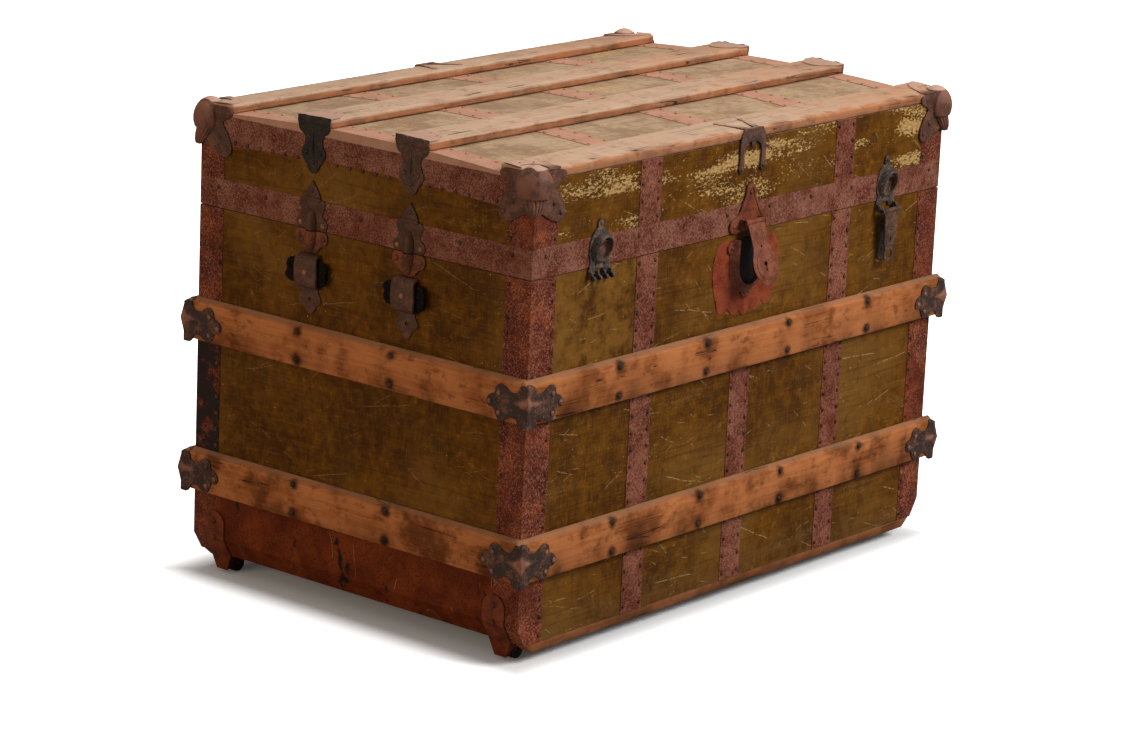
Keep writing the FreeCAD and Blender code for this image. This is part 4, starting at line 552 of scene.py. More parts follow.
def fitting_iron(name, dark, rust, shine=0.0, rusting=0.5, pale=0.0, raised=0.0, proud_from=0.0036,
                 painted_shade_hollow=None):
    """Dark iron under rust. Rusting is how much has rusted, pale how bleached it is where it lies on the lid,
    raised how red and pale it is where it stands proud of the slats by proud_from, partly rust and partly a
    painted highlight, and hollow the height and half width of a recess painted near black inside, as shade."""
    iron = Finish(name, 0.22)
    blotch = iron.noise(0.018, 5, 0.65)
    grit = iron.noise(0.0022, 3, 0.6)
    rusted = (blotch * 0.7 + grit * 0.3).above(0.58 - 0.25 * rusting, 0.78 - 0.25 * rusting)
    colour = iron.mix(rusted, dark, rust)
    colour = iron.mix(grit.above(0.58, 0.66) * 0.35, colour, tuple(min(1, 1.8 * part) for part in rust))
    if pale:
        facing_up = iron.z.above(PALE_ABOVE, PALE_ABOVE + 0.002)
        facing_up = facing_up * abs(iron.x).above(PALE_WITHIN, PALE_WITHIN - 0.0015)
        colour = iron.mix(facing_up * (0.65 + 0.6 * blotch), colour, (pale, 0.58 * pale, 0.40 * pale))
    # Where the iron stands proud it turns redder and paler. This is partly rust and partly a painted
    # highlight.
    if raised:
        proud = (abs(iron.x) - SLAT_SKIN_X).most(abs(iron.y) - SLAT_SKIN_Y)
        proud = proud.above(proud_from, proud_from + 0.0012) * blotch.above(0.30, 0.55)
        colour = iron.mix(proud * 0.85, colour, (raised, 0.40 * raised, 0.24 * raised))
    # Painted shade: inside the recess, and on whatever lies in it, the colour turns near black.
    if painted_shade_hollow:
        height, half_width = painted_shade_hollow
        below = (iron.z - height).least(0.0)
        away = iron.node("ShaderNodeMath", {"operation": "SQRT"}, {0: iron.x * iron.x + below * below})
        colour = iron.mix(away.above(half_width, half_width - 0.0008), colour, (0.010, 0.004, 0.002))
    return iron.surface(colour, 0.50 - shine + 0.3 * grit, grit + 0.8 * blotch, 0.0005)


# a fitting is drawn flat in millimetres, then set on its side; right and up are as seen from outside
UP, RIGHT_ON_FRONT, RIGHT_ON_LEFT = Vector((0, 0, 1)), Vector((1, 0, 0)), Vector((0, -1, 0))


def closed(piece, smooth_below=35):
    """Merges the seams of a piece and turns its faces outwards. Edges sharper than this angle stay sharp."""
    edit_all(piece)
    bpy.ops.mesh.remove_doubles(threshold=0.01 * MM)
    bpy.ops.mesh.normals_make_consistent(inside=False)
    bpy.ops.object.mode_set(mode="OBJECT")
    bpy.ops.object.shade_smooth_by_angle(angle=math.radians(smooth_below))
    return piece


def both_sides(half):
    """A closed outline from its right half, listed from top to bottom."""
    left = [(-point[0], *point[1:]) for point in reversed(half) if point[0] > 0]
    return [*half, *left]


def plate(name, outline, thick, edge, holes=()):
    """A flat piece with a rounded rim, its back on z = 0. A point with a third value is a sharp corner."""
    curve = bpy.data.curves.new(name, "CURVE")
    curve.dimensions = "2D"
    curve.fill_mode = "BOTH"
    curve.resolution_u = 4
    curve.extrude = (thick / 2 - edge) * MM
    curve.bevel_depth = edge * MM
    curve.bevel_resolution = 1
    curve.offset = -edge * MM
    for points in (outline, *holes):
        line = curve.splines.new("BEZIER")
        line.bezier_points.add(len(points) - 1)
        line.use_cyclic_u = True
        for knot, point in zip(line.bezier_points, points):
            knot.co = (point[0] * MM, point[1] * MM, 0)
            knot.handle_left_type = knot.handle_right_type = "VECTOR" if len(point) > 2 else "AUTO"
    added(name, curve)
    bpy.ops.object.convert(target="MESH")
    piece = bpy.context.object
    piece.data.transform(Matrix.Translation((0, 0, thick / 2 * MM)))
    return closed(piece)


def turned(name, profile, steps=24):
    """A round piece about z, from (radius, height) points in millimetres that start and end on the axis."""
    mesh = bpy.data.meshes.new(name)
    mesh.from_pydata([(radius * MM, 0, height * MM) for radius, height in profile],
                     [(i, i + 1) for i in range(len(profile) - 1)], [])
    piece = added(name, mesh)
    edit_all(piece)
    bpy.ops.mesh.spin(steps=steps, angle=math.tau, center=(0, 0, 0), axis=(0, 0, 1))
    bpy.ops.object.mode_set(mode="OBJECT")
    return closed(piece)


def creased(piece, axis, places):
    """Adds edges across a flat piece, at these places along x (0) or y (1), for a bend to follow."""
    edit_all(piece)
    for place in places:
        point, normal = [0, 0, 0], [0, 0, 0]
        point[axis], normal[axis] = place * MM, 1
        bpy.ops.mesh.select_all(action="SELECT")
        bpy.ops.mesh.bisect(plane_co=point, plane_no=normal)
    bpy.ops.object.mode_set(mode="OBJECT")
    return piece


def shaped(piece, rule):
    """Moves every point of a piece by a rule on its millimetres."""
    for corner in piece.data.vertices:
        corner.co = Vector(rule(*(corner.co / MM))) * MM
    piece.data.update()
    return piece


def set_on(piece, place, right, up=UP):
    """Stands a piece on a place, in millimetres of the trunk, with its x to the right and its y up."""
    pick(piece)
    turn = Matrix((right, up, right.cross(up))).transposed().to_4x4()
    piece.matrix_world = Matrix.Translation(Vector(place) * MM) @ turn
    bpy.ops.object.transform_apply()
    return piece


def joined(name, *pieces):
    pick(*pieces)
    bpy.ops.object.join()
    bpy.context.object.name = name
    return bpy.context.object


def copied(piece, name, sides, shift=(0, 0, 0)):
    """A copy with its own mesh, mirrored where a side is -1 and moved by millimetres."""
    pick(piece)
    bpy.ops.object.duplicate()
    copy = bpy.context.object
    copy.name = name
    copy.scale = sides
    copy.location = Vector(shift) * MM
    bpy.ops.object.transform_apply()
    if math.prod(sides) < 0:
        edit_all(copy)
        bpy.ops.mesh.normals_make_consistent(inside=False)
        bpy.ops.object.mode_set(mode="OBJECT")
    return copy


def at_corners(piece, node, body, finish, levels=(0,)):
    """Puts a front left fitting at all four corners, on each level, in place of its node."""
    for level, rise in enumerate(levels):
        for corner, sides in (("front_left", (1, 1, 1)), ("front_right", (-1, 1, 1)),
                              ("back_left", (1, -1, 1)), ("back_right", (-1, -1, 1))):
            name = f"{piece.name}_{corner}" if len(levels) == 1 else f"{piece.name}_{level}_{corner}"
            copy = copied(piece, name, sides, (0, 0, rise))
            finish.on(copy)
            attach(copy, body)
            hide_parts(node)
    bpy.data.objects.remove(piece)


bpy.ops.mesh.primitive_uv_sphere_add(segments=9, ring_count=6, radius=MM)
edit_all(bpy.context.object)
bpy.ops.mesh.bisect(plane_co=(0, 0, -0.15 * MM), plane_no=(0, 0, 1), clear_inner=True)
bpy.ops.object.mode_set(mode="OBJECT")
nail_head = shaped(bpy.context.object, lambda x, y, z: (x, y, 0.62 * z))
HEAD = nail_head.data
bpy.data.objects.remove(nail_head)


def heads(name, spots, radius):
    """Nail or rivet heads as one piece. A spot is a place, in millimetres, and the way the head faces."""
    corners, faces = [], []
    for place, out in spots:
        facing = Vector(out).to_track_quat("Z", "Y").to_matrix().to_4x4()
        turn = Matrix.Translation(Vector(place) * MM) @ facing
        size = radius * (1 + 0.15 * noise.noise(Vector(place) * 0.37))
        first = len(corners)
        corners += [turn @ (corner.co * size) for corner in HEAD.vertices]
        faces += [[first + i for i in face.vertices] for face in HEAD.polygons]
    mesh = bpy.data.meshes.new(name)
    mesh.from_pydata(corners, [], faces)
    mesh.polygons.foreach_set("use_smooth", [True] * len(mesh.polygons))
    return added(name, mesh)


CORNER_HALF = [
    (0, 25), (8, 24.5), (11.5, 20.5), (15, 14.5), (25, 13.5), (33, 18.5), (40, 20.5), (46.5, 16.5),
    (48.5, 9), (54, 6.2), (59, 2), (60, -3.5), (56.5, -8.5), (49.5, -10), (46.5, -16.5), (41, -22.5),
    (34, -22), (27, -17.5), (19.5, -16.8), (15, -18.5), (12, -24), (8, -27), (0, -27.5),
]
CORNER_RIVETS = [(41.5, 9.6), (55, -2.4), (41.2, -13.5)]
CORNER_WALL, STAR_RISE, STAR_ARM, STAR_WAIST, STAR_HEIGHT = 2.2, 5.4, 40, 9.5, 22
CORNER_SPREAD, CORNER_DROP = 1.08, 3
SLAT_MIDDLES = (142, 346)
SHEET_X, SHEET_Y, SLAT_X, SLAT_Y = 432.8, 282.8, 443.8, 293.8


def riveted(name, piece, rivets, radius, height):
    """Joins rivet heads to a flat fitting, at these places and their mirror images."""
    spots = [((side * x, y, height), (0, 0, 1)) for x, y in rivets for side in (-1, 1) if x or side > 0]
    return joined(name, piece, heads(f"{name}_rivets", spots, radius))


def round_the_corner(x0, y0, z0):
    """Folds a flat fitting round the front left corner: x > 0 goes on the front, x < 0 on the end."""
    def rule(x, y, height):
        along = abs(x) - height * max(0, 1 - abs(x) / 2)
        return (x0 + along, y0 - height, z0 + y) if x > 0 else (x0 - height, y0 + along, z0 + y)
    return rule


def star(name, arm, waist, tall, low, rise):
    """A faceted four-pointed star, from its back at low to its point at rise."""
    bpy.ops.mesh.primitive_cone_add(vertices=8, radius1=10 * MM, depth=2 * MM)
    piece = bpy.context.object
    piece.name = name

    def rule(x, y, z):
        if z > 0:
            return 0, -1, rise
        if abs(x) < 1 or abs(y) < 1:
            return (math.copysign(arm, x), -1, low) if abs(x) > 1 else (0, math.copysign(tall, y) - 1, low)
        return math.copysign(waist, x), math.copysign(waist, y) - 1, low
    return shaped(piece, rule)


corner = plate("corner_wings", both_sides(CORNER_HALF), CORNER_WALL, 0.7)
corner = riveted("corner_wings", corner, CORNER_RIVETS, 3.4, CORNER_WALL)
corner = creased(creased(corner, 0, (-2, 0, 2)), 1, (22,))
# the top of the casting follows the sloped edge of the slat
shaped(corner, lambda x, y, z: (x * CORNER_SPREAD, y * CORNER_SPREAD - CORNER_DROP, z - 1.2 * max(0, y - 22)))
flare = star("corner_star", STAR_ARM, STAR_WAIST, STAR_HEIGHT, 1.6, STAR_RISE)
corner = joined("slat_corner", corner, flare)
shaped(corner, round_the_corner(-SLAT_X, -SLAT_Y, SLAT_MIDDLES[0]))
closed(corner, 7)
casting = fitting_iron("dark_casting", (0.038, 0.019, 0.013), (0.17, 0.070, 0.040), 0.05, 0.45, raised=0.30)
casting.on("slat_corners")
at_corners(corner, "slat_corners", "trunk_body", casting, (0, SLAT_MIDDLES[1] - SLAT_MIDDLES[0]))


# ---------------------------------------------------------------- roller brackets and rollers
# Two iron rollers stand at the foot of each end, for tipping the trunk and rolling it. Each turns on a
# riveted axle in a wrought bracket, which has two rivets and a foot folded in under the end.
BRACKET_Y, BRACKET_FACE, BRACKET_FOOT, FOOT_REACH = 244, 435.3, 24, 19
BRACKET_RIVETS = (53, 76)
roller_iron = fitting_iron("roller_iron", (0.085, 0.016, 0.003), (0.19, 0.035, 0.006), 0.0, 0.7)
roller_dark = fitting_iron("roller_dark", (0.018, 0.011, 0.008), (0.06, 0.022, 0.011))


def drawn_in(x, y, z):
    """Narrows a bracket towards the bottom of its foot."""
    middle = math.copysign(BRACKET_Y, y)
    return x, middle + (y - middle) * (1 - 0.5 * (max(0, BRACKET_FOOT - z) / FOOT_REACH) ** 2), z


bracket_rivets = heads("bracket_rivets", [
    ((side * BRACKET_FACE, end * BRACKET_Y, z), (side, 0, 0))
    for side in (-1, 1) for end in (-1, 1) for z in BRACKET_RIVETS], 4.2)
brackets = joined("roller_brackets_worn", shaped(worn("roller_brackets", 1.4), drawn_in), bracket_rivets)
stand_in(brackets, "roller_brackets", "trunk_body", roller_iron)
stand_in(worn("roller_axles", 0.6), "roller_axles", "trunk_body", roller_dark)
for roller in ("front_left_roller", "front_right_roller", "back_left_roller", "back_right_roller"):
    stand_in(worn(roller, 1.8), roller, roller, roller_dark)


# ---------------------------------------------------------------- lid dowels
# A pointed plate on the lid carries half a bullet, and a smaller plate on the body carries the other half,
# so the lid finds its place when it is shut. Both are pressed iron, held by small rivets.
DOWEL_MIDDLE, LID_EDGE, BODY_EDGE = -83, 498.2, 497
UPPER_DOWEL = [
    (0, 63.5), (2, 60), (8, 53), (12.5, 45), (14, 40, 1), (20.5, 38.5, 1), (22, 35), (21.8, 30), (18.6, 24),
    (18, 19), (21.5, 15.5), (26, 11), (26, 4), (23, 0, 1), (0, 0, 1),
]
LOWER_DOWEL = [
    (0, 0, 1), (24, 0, 1), (27, -5), (27.5, -11), (24, -17), (18.5, -19), (14, -23), (9, -28), (0, -29.5),
]
dowel_iron = fitting_iron("dowel_iron", (0.062, 0.022, 0.009), (0.098, 0.035, 0.016), 0.2, 0.5)
dowel_red = fitting_iron("dowel_red", (0.075, 0.022, 0.009), (0.20, 0.050, 0.014), 0.1, 0.7)
rivet_orange = fitting_iron("rivet_orange", (0.16, 0.050, 0.020), (0.34, 0.13, 0.06), 0.0, 0.8)

upper = riveted("upper_plate", plate("upper_plate", both_sides(UPPER_DOWEL), 1.6, 0.5), [(0, 50.5)], 3.2, 1.6)
bullet = turned("upper_bullet", [
    (0, 27.5), (3.2, 26), (6.2, 22.5), (8, 17.5), (8.8, 11), (8.8, 0.4), (8, 0), (0, 0)])
set_on(bullet, (0, 0, 0), RIGHT_ON_FRONT, -UP)
tongue = turned("upper_tongue", [(0, 1), (3.4, 1), (3.4, -5), (2.4, -6), (0, -6)], 16)
set_on(tongue, (0, 0, 2), RIGHT_ON_FRONT, -UP)
fold = plate("upper_fold", both_sides([(0, 41.5), (13.6, 41), (15, 39), (13.6, 37.4), (0, 37)]), 3.4, 0.9)
upper = joined("upper_dowel", upper, bullet, tongue, fold)
set_on(upper, (-SHEET_X, DOWEL_MIDDLE, LID_EDGE), RIGHT_ON_LEFT)
dowel_iron.on("upper_dowels")
at_corners(upper, "upper_dowels", "lid", dowel_iron)
ear_rivets = heads("upper_dowel_rivets", [((side * 19.3, 7, 1.6), (0, 0, 1)) for side in (-1, 1)], 3.6)
set_on(ear_rivets, (-SHEET_X, DOWEL_MIDDLE, LID_EDGE), RIGHT_ON_LEFT)
at_corners(ear_rivets, "upper_dowels", "lid", rivet_orange)

lower = plate("lower_plate", both_sides(LOWER_DOWEL), 1.6, 0.5)
lower = riveted("lower_plate", lower, [(20.5, -9)], 3.6, 1.6)
bullet = turned("lower_bullet", [
    (0, 0), (8.8, -0.2), (8.8, -7), (7.6, -14), (5.2, -22), (3.2, -27), (0, -28.4)])
set_on(bullet, (0, 0, 0), RIGHT_ON_FRONT, -UP)
lower = joined("lower_dowel", lower, bullet)
set_on(lower, (-SHEET_X, DOWEL_MIDDLE, BODY_EDGE), RIGHT_ON_LEFT)
dowel_red.on("lower_dowels")
at_corners(lower, "lower_dowels", "trunk_body", dowel_red)


# ---------------------------------------------------------------- handle loops and torn leather
# Loops of pressed iron, riveted to the ends, held a leather handle between them. The leather has torn off
# and left a black stub in each loop.
LOOP_TOP, LOOP_HEIGHT, LOOP_WIDTH = 467, 46, 38
LOOP_PLACE = (-432, DOWEL_MIDDLE, LOOP_TOP - LOOP_HEIGHT / 2)
LOOP_SECTION = [
    (-23, 0, 1), (-22.3, 6), (-19, 11.2), (-14, 12.8), (0, 13.2), (14, 12.8), (19, 11.2), (22.3, 6),
    (23, 0, 1), (19.8, 0, 1), (19, 5.5), (16.5, 8.8), (12, 9.6), (0, 9.8), (-12, 9.6), (-16.5, 8.8),
    (-19, 5.5), (-19.8, 0, 1),
]
TAIL_HALF = [
    (0, 2), (14, 2), (13.6, -4), (17, -9), (18.6, -14), (16.8, -19), (10.5, -23.5), (7, -29), (0, -34),
]
LEATHER = [
    (0, 13.2), (18, 13.2), (25, 15.5), (31, 13.5), (34.5, 7), (33.5, -1), (36, -7), (33, -13), (26, -17),
    (18, -14), (0, -13.4), (-18, -13.4), (-25, -16), (-31, -12), (-33.5, -4), (-32, 1), (-35, 6),
    (-31.5, 12), (-25, 15), (-18, 13.2),
]
loop = plate("loop_strap", LOOP_SECTION, LOOP_WIDTH, 0.8)
set_on(loop, (-LOOP_WIDTH / 2, 0, 0), -RIGHT_ON_LEFT)
shaped(loop, lambda x, y, z: (x * (1.02 - 0.13 * (y / LOOP_HEIGHT * 2) ** 2), y, z))
tail = plate("loop_tail", both_sides(TAIL_HALF), 2, 0.5,
             [[(0, -11.8), (-2.8, -14.5), (0, -17.2), (2.8, -14.5)]])
shaped(tail, lambda x, y, z: (x, y - LOOP_HEIGHT / 2, z))
loop = joined("handle_loop", loop, tail)
set_on(loop, LOOP_PLACE, RIGHT_ON_LEFT)
loop_iron = fitting_iron("loop_iron", (0.070, 0.027, 0.014), (0.15, 0.056, 0.028), 0.15, 0.5)
loop_iron.on("handle_loops")
at_corners(loop, "handle_loops", "trunk_body", loop_iron)
loop_rivet = heads("handle_loop_rivet", [((0, 0, 12.9), (0, 0, 1))], 3.8)
set_on(loop_rivet, LOOP_PLACE, RIGHT_ON_LEFT)
at_corners(loop_rivet, "handle_loops", "trunk_body", rivet_orange)

leather = Finish("handle_leather", 0.1)
cracked = leather.cracks(0.0045)
crumb = leather.dots(0.006, 3.0).above(0.13, 0.06) * leather.noise(0.02, 2).above(0.50, 0.60)
hide = leather.mix(leather.noise(0.004, 3).above(0.40, 0.65), (0.0035, 0.0026, 0.002), (0.014, 0.009, 0.006))
hide = leather.mix(crumb * 0.8, hide, (0.42, 0.30, 0.17))
leather.surface(hide, 0.55 + 0.3 * cracked.above(0.0, 0.2), cracked.above(0.0, 0.12) + crumb, 0.0008)
stub = creased(plate("leather_stub", LEATHER, 4.2, 0.8), 0, (-28, -23, -19, 19, 23, 28))
shaped(stub, lambda x, y, z: (x, y, z + 3.9 + 0.012 * max(0, abs(x) - 19) ** 2))
set_on(stub, LOOP_PLACE, RIGHT_ON_LEFT)
leather.on("handle_leather")
at_corners(stub, "handle_leather", "trunk_body", leather)


# ---------------------------------------------------------------- lid corner bumpers
# Cast bumpers guard the lid's corners: a domed knob over a pleated nose, a scalloped wing on each side with
# two rivets, and a thin tongue over the slat.
BUMPER_HALF = [
    (0, -0.6), (30, -0.6), (50, -1.5), (55.5, -5), (56, -9), (51, -14), (44, -17.5), (39.5, -21), (42, -27),
    (48.5, -35), (54, -46), (55.5, -54), (53.5, -61), (46.5, -66), (39, -65), (30.5, -62.5), (20, -57),
    (13, -53), (6, -51.5), (0, -51),
]
BUMPER_RIVETS = [(34.3, -41.3), (47.7, -54.4)]
BUMPER_TONGUE = [
    (24, 0.5, 1), (46, 0.5), (51, 5), (45, 17), (38, 31), (27, 45), (12, 54), (3, 54), (0, 47),
    (0.5, 24, 1), (4, 29.5), (10, 33), (16, 33.7), (23, 32.2), (29, 28), (32.8, 22), (33.6, 15), (32, 9),
    (28, 3.5),
]
DOME_X, DOME_Y, DOME_Z, DOME_RADIUS, DOME_HEM, DOME_RISE = -424.8, -274.8, 612, 23, 600, 1.2
NOSE_TOP, NOSE_DEPTH, NOSE_LEAN = 602, 28, 11
LID_TOP, LID_SLAT_TOP, LID_CROWN = 632, 644, 6639


def lid_slat_top(y):
    """Height of the lid slats' upper side on the low crown."""
    return LID_SLAT_TOP - y * y / LID_CROWN


# The knob is painted redder where it stands proud. This is partly rust and partly a painted highlight.
bumper_iron = fitting_iron("bumper_iron", (0.070, 0.029, 0.017), (0.165, 0.062, 0.036), 0.05, 0.60, 0.50,
                           raised=0.215, proud_from=-0.0052)
wings = plate("bumper_wings", both_sides(BUMPER_HALF), 2.4, 0.8)
wings = creased(riveted("bumper_wings", wings, BUMPER_RIVETS, 3.6, 2.4), 0, (-2, 0, 2))
shaped(wings, round_the_corner(-SHEET_X, -SHEET_Y, LID_TOP))
tongue = plate("bumper_tongue", BUMPER_TONGUE, 1.6, 0.5, [
    [(31, 33), (33, 34.5), (38, 34.5), (36, 33)],
    [(12, 40), (14, 41.5), (20, 42.5), (18, 41)],
])
tongue = creased(tongue, 1, (10, 20, 30, 40))
shaped(tongue, lambda x, y, z: (x - 434.5, y - 284.5, z + lid_slat_top(y - 284.5)))
bpy.ops.mesh.primitive_uv_sphere_add(segments=32, ring_count=20, radius=DOME_RADIUS * MM,
                                     location=(DOME_X * MM, DOME_Y * MM, DOME_Z * MM))
dome = pick(bpy.context.object)
dome.scale.z = DOME_RISE
bpy.ops.object.transform_apply()
edit_all(dome)
bpy.ops.mesh.bisect(plane_co=(0, 0, DOME_HEM * MM), plane_no=(0, 0, 1), clear_inner=True, use_fill=True)
bpy.ops.object.mode_set(mode="OBJECT")
nose = turned("bumper_nose", [(0, 6), (17.5, 3), (16.5, -4), (13.5, -12), (10, -19), (6, -24), (0, -26)], 40)


def pleat(x, y, z):
    """Gathers the nose in twenty pleats and leans its tip out to the corner."""
    lean = NOSE_LEAN * min(1, max(0, -z / NOSE_DEPTH))
    inset = 1 - 0.10 * (math.cos(20 * math.atan2(y, x)) < 0)
    return x * inset + DOME_X - lean, y * inset + DOME_Y - lean, z + NOSE_TOP


shaped(nose, pleat)
bumper = closed(joined("lid_corner_bumper", wings, tongue, dome, nose))
bumper_iron.on("lid_corner_bumpers")
at_corners(bumper, "lid_corner_bumpers", "lid", bumper_iron)


# ---------------------------------------------------------------- slat end clamps
# Pressed T-shaped clamps hold the ends of the two inner slats. A tongue lies on the slat, and a ribbed leg
# with three rivets goes down the end.
CLAMP_HALF = [
    (0, 42), (9, 41), (15, 36), (20, 27), (27, 17), (28, 6), (28, -6), (26.5, -14), (23, -19.5),
    (16.5, -24), (14.8, -31), (17, -38), (20.2, -44), (20.3, -50), (16, -56), (11.5, -61.5), (8.5, -67),
    (4.5, -71), (0, -72),
]
CLAMP_RIVETS = [(11.7, -45.7), (0, -58)]
CLAMP_ROLL_HALF = [(0, -1), (24, -1), (27.5, -4), (26, -8.5), (12, -9.5), (0, -9.8)]
clamp_brown = fitting_iron("clamp_brown", (0.060, 0.028, 0.017), (0.15, 0.062, 0.034), 0.05, 0.5, 0.45)
clamp_black = fitting_iron("clamp_black", (0.016, 0.011, 0.009), (0.085, 0.034, 0.018), 0.1, 0.3, 0.45)


def over_the_end(x, y, height):
    """Folds a flat clamp over the left end of an inner slat: y > 0 lies on the slat, y < 0 on the end."""
    across = DOWEL_MIDDLE - x
    along = abs(y) - height * max(0, 1 - abs(y) / 2)
    if y > 0:
        return -SHEET_X + along, across, lid_slat_top(across) + 0.8 * height
    return -SHEET_X - height, across, lid_slat_top(across) - max(along, -0.8 * height)


clamp = plate("clamp_leg", both_sides(CLAMP_HALF), 2, 0.7, [
    [(-3, 30.5), (-4, 31.5), (-3, 37), (-2, 31.5)], [(13, 25), (12, 26), (13, 31), (14, 26)]])
clamp = riveted("clamp_leg", clamp, CLAMP_RIVETS, 3.6, 2)
clamp = creased(creased(clamp, 1, (-2, 0, 2)), 0, (-14, 0, 14))
rib = star("clamp_rib", 3.2, 1.8, 24, 1.2, 4.6)
shaped(rib, lambda x, y, z: (x, y - 34, z))
rolled = plate("clamp_roll", both_sides(CLAMP_ROLL_HALF), 3.4, 1.2)
clamp = joined("slat_end_clamp", clamp, rib, rolled)
shaped(clamp, over_the_end)
closed(clamp)
clamp_black.on("slat_end_clamps")
at_corners(clamp, "slat_end_clamps", "lid", clamp_black)
for side in ("left", "right"):
    clamp_brown.on(bpy.data.objects[f"slat_end_clamp_front_{side}"])


# ---------------------------------------------------------------- horseshoe clamps
# A horseshoe-shaped clamp holds the middle of the front and back slats. Two splayed prongs lie over the
# slat and two legs with round feet go down the side.
SHOE_HALF = [
    (0, 3), (13, 2.6), (21.5, -1.5), (26, -11), (27.5, -26), (27.2, -40), (28, -49), (25, -55), (20, -55),
    (17.2, -49), (18, -40), (18, -28), (15.5, -21), (9, -16.5), (4, -15.5), (3.5, -20), (0, -22.5),
]
PRONG = [
    (6, -1), (14, -1), (19, 14), (24, 28), (28.5, 36), (29, 42), (25, 45), (21, 42), (20, 35), (15, 24),
    (9, 12),
]
shoe_iron = fitting_iron("shoe_iron", (0.060, 0.030, 0.020), (0.14, 0.064, 0.040), 0.0, 0.6, 0.45)


def over_the_front(x, y, height):
    """Folds a flat clamp over the front slat: y > 0 lies on the slat, y < 0 on the lock side."""
    along = abs(y) - height * max(0, 1 - abs(y) / 2)
    if y > 0:
        return x, along - SHEET_Y, lid_slat_top(along - SHEET_Y) + height
    return x, -SHEET_Y - height, lid_slat_top(SHEET_Y) - along


arch = riveted("shoe_arch", plate("shoe_arch", both_sides(SHOE_HALF), 2.3, 0.9), [(22.6, -49.5)], 3.6, 2.3)
arch = creased(arch, 1, (-2, 0, 2))
prongs = []
for side in (-1, 1):
    hole = [(side * 25, 38.5), (side * 26.5, 40), (side * 25, 41.5), (side * 23.5, 40)]
    prong = plate(f"shoe_prong_{side}", [(side * x, y) for x, y in PRONG], 1.8, 0.7, [hole])
    prongs.append(creased(prong, 1, (0, 2)))
shoe = closed(shaped(joined("horseshoe_clamp", arch, *prongs), over_the_front))
for side, sides in (("front", (1, 1, 1)), ("back", (1, -1, 1))):
    stand_in(copied(shoe, f"horseshoe_clamp_{side}", sides), "horseshoe_clamps", "lid", shoe_iron)
bpy.data.objects.remove(shoe)


# ---------------------------------------------------------------- lock shell plate and bowl
# A shell-shaped brass-washed plate, fluted like a fan, backs a raised bowl that takes the lock box. The
# bowl is open above, and three lobes with rivets hold it.
SHELL_HALF = [
    (0, 40), (52, 40, 1), (56.5, 38), (62, 32), (68.5, 18), (70.2, 4), (69, -14), (64, -31), (59.5, -43, 1),
    (57, -51), (50, -56), (42, -55), (37, -50, 1), (32, -54.5), (25, -60.5), (17, -59.5), (12.5, -54, 1),
    (7, -61.5), (0, -64),
]
SHELL_PLACE, BOWL_PLACE = (0, -282, 450), (0, -283.5, 453)
BOWL_PROFILE = [
    (0, 0), (37, 0), (34.5, 2.2), (31, 5.2), (28.5, 8), (26.6, 8.5), (24.6, 8), (23.6, 5.5), (23.4, 1.2),
    (0, 1.2),
]
EAR_RADIUS, EAR_X, EAR_Y = 9, 34, 27
FOOT_HALF = [(0, -30), (12, -30), (11, -36), (7, -41), (0, -43)]
lock_iron = fitting_iron("lock_metal", (0.155, 0.016, 0.003), (0.255, 0.046, 0.012), 0.0, 0.8)
# Inside the bowl the colour turns near black. This is painted shade, and the lock box within gets it too.
bowl_iron = fitting_iron("bowl_metal", (0.085, 0.018, 0.006), (0.19, 0.050, 0.022), 0.0, 0.7,
                         painted_shade_hollow=(0.453, 0.0248))

shell = plate("shell_plate", both_sides(SHELL_HALF), 1.4, 0.4)
shell = creased(creased(shell, 0, range(-64, 65, 4)), 1, range(-60, 40, 4))
shell = creased(shell, 0, (-1, 1))


def fluted(x, y, z):
    """Presses the fan's ribs into the front of the plate, outside the bowl."""
    spread = min(1, max(0, (math.hypot(x, y - 3) - 30) / 10))
    rib = max(0, math.cos(15 * math.atan2(x, 12 - y)))
    return x, y, z - (0.7 * spread * (1 - rib) if z > 0.7 else 0)


shaped(shell, fluted)
set_on(shell, SHELL_PLACE, RIGHT_ON_FRONT)
stand_in(shell, "lock_shell_plate", "trunk_body", lock_iron)

bowl = turned("bowl_wall", BOWL_PROFILE, 48)
edit_all(bowl)
bpy.ops.mesh.bisect(plane_co=(0, 0, 0), plane_no=(0, 1, 0), clear_outer=True)
bpy.ops.mesh.select_all(action="DESELECT")
bpy.ops.object.mode_set(mode="OBJECT")
for edge in bowl.data.edges:
    edge.select = all(abs(bowl.data.vertices[i].co.y) < 0.01 * MM for i in edge.vertices)
bpy.ops.object.mode_set(mode="EDIT")
bpy.ops.mesh.select_mode(type="EDGE")
bpy.ops.mesh.extrude_region_move(TRANSFORM_OT_translate={"value": (0, 37 * MM, 0)})
bpy.ops.mesh.edge_face_add()
bpy.ops.mesh.select_mode(type="VERT")
bpy.ops.object.mode_set(mode="OBJECT")
ears = []
for side in (-1, 1):
    ear = turned(f"bowl_ear_{side}", [(0, 0), (EAR_RADIUS, 0), (EAR_RADIUS - 0.6, 1.8), (0, 2.2)])
    ears.append(shaped(ear, lambda x, y, z: (x + side * EAR_X, y + EAR_Y, z)))
foot = plate("bowl_foot", both_sides(FOOT_HALF), 2, 0.6, [
    [(side * 4, -33), (side * 5.4, -36), (side * 4, -38), (side * 3, -36)] for side in (-1, 1)])
bowl = joined("lock_bowl_shell", closed(bowl), *ears, foot)
bowl = riveted("lock_bowl_shell", bowl, [(EAR_X, EAR_Y)], 3.6, 1.8)
set_on(bowl, BOWL_PLACE, RIGHT_ON_FRONT)
stand_in(bowl, "lock_bowl", "trunk_body", bowl_iron)


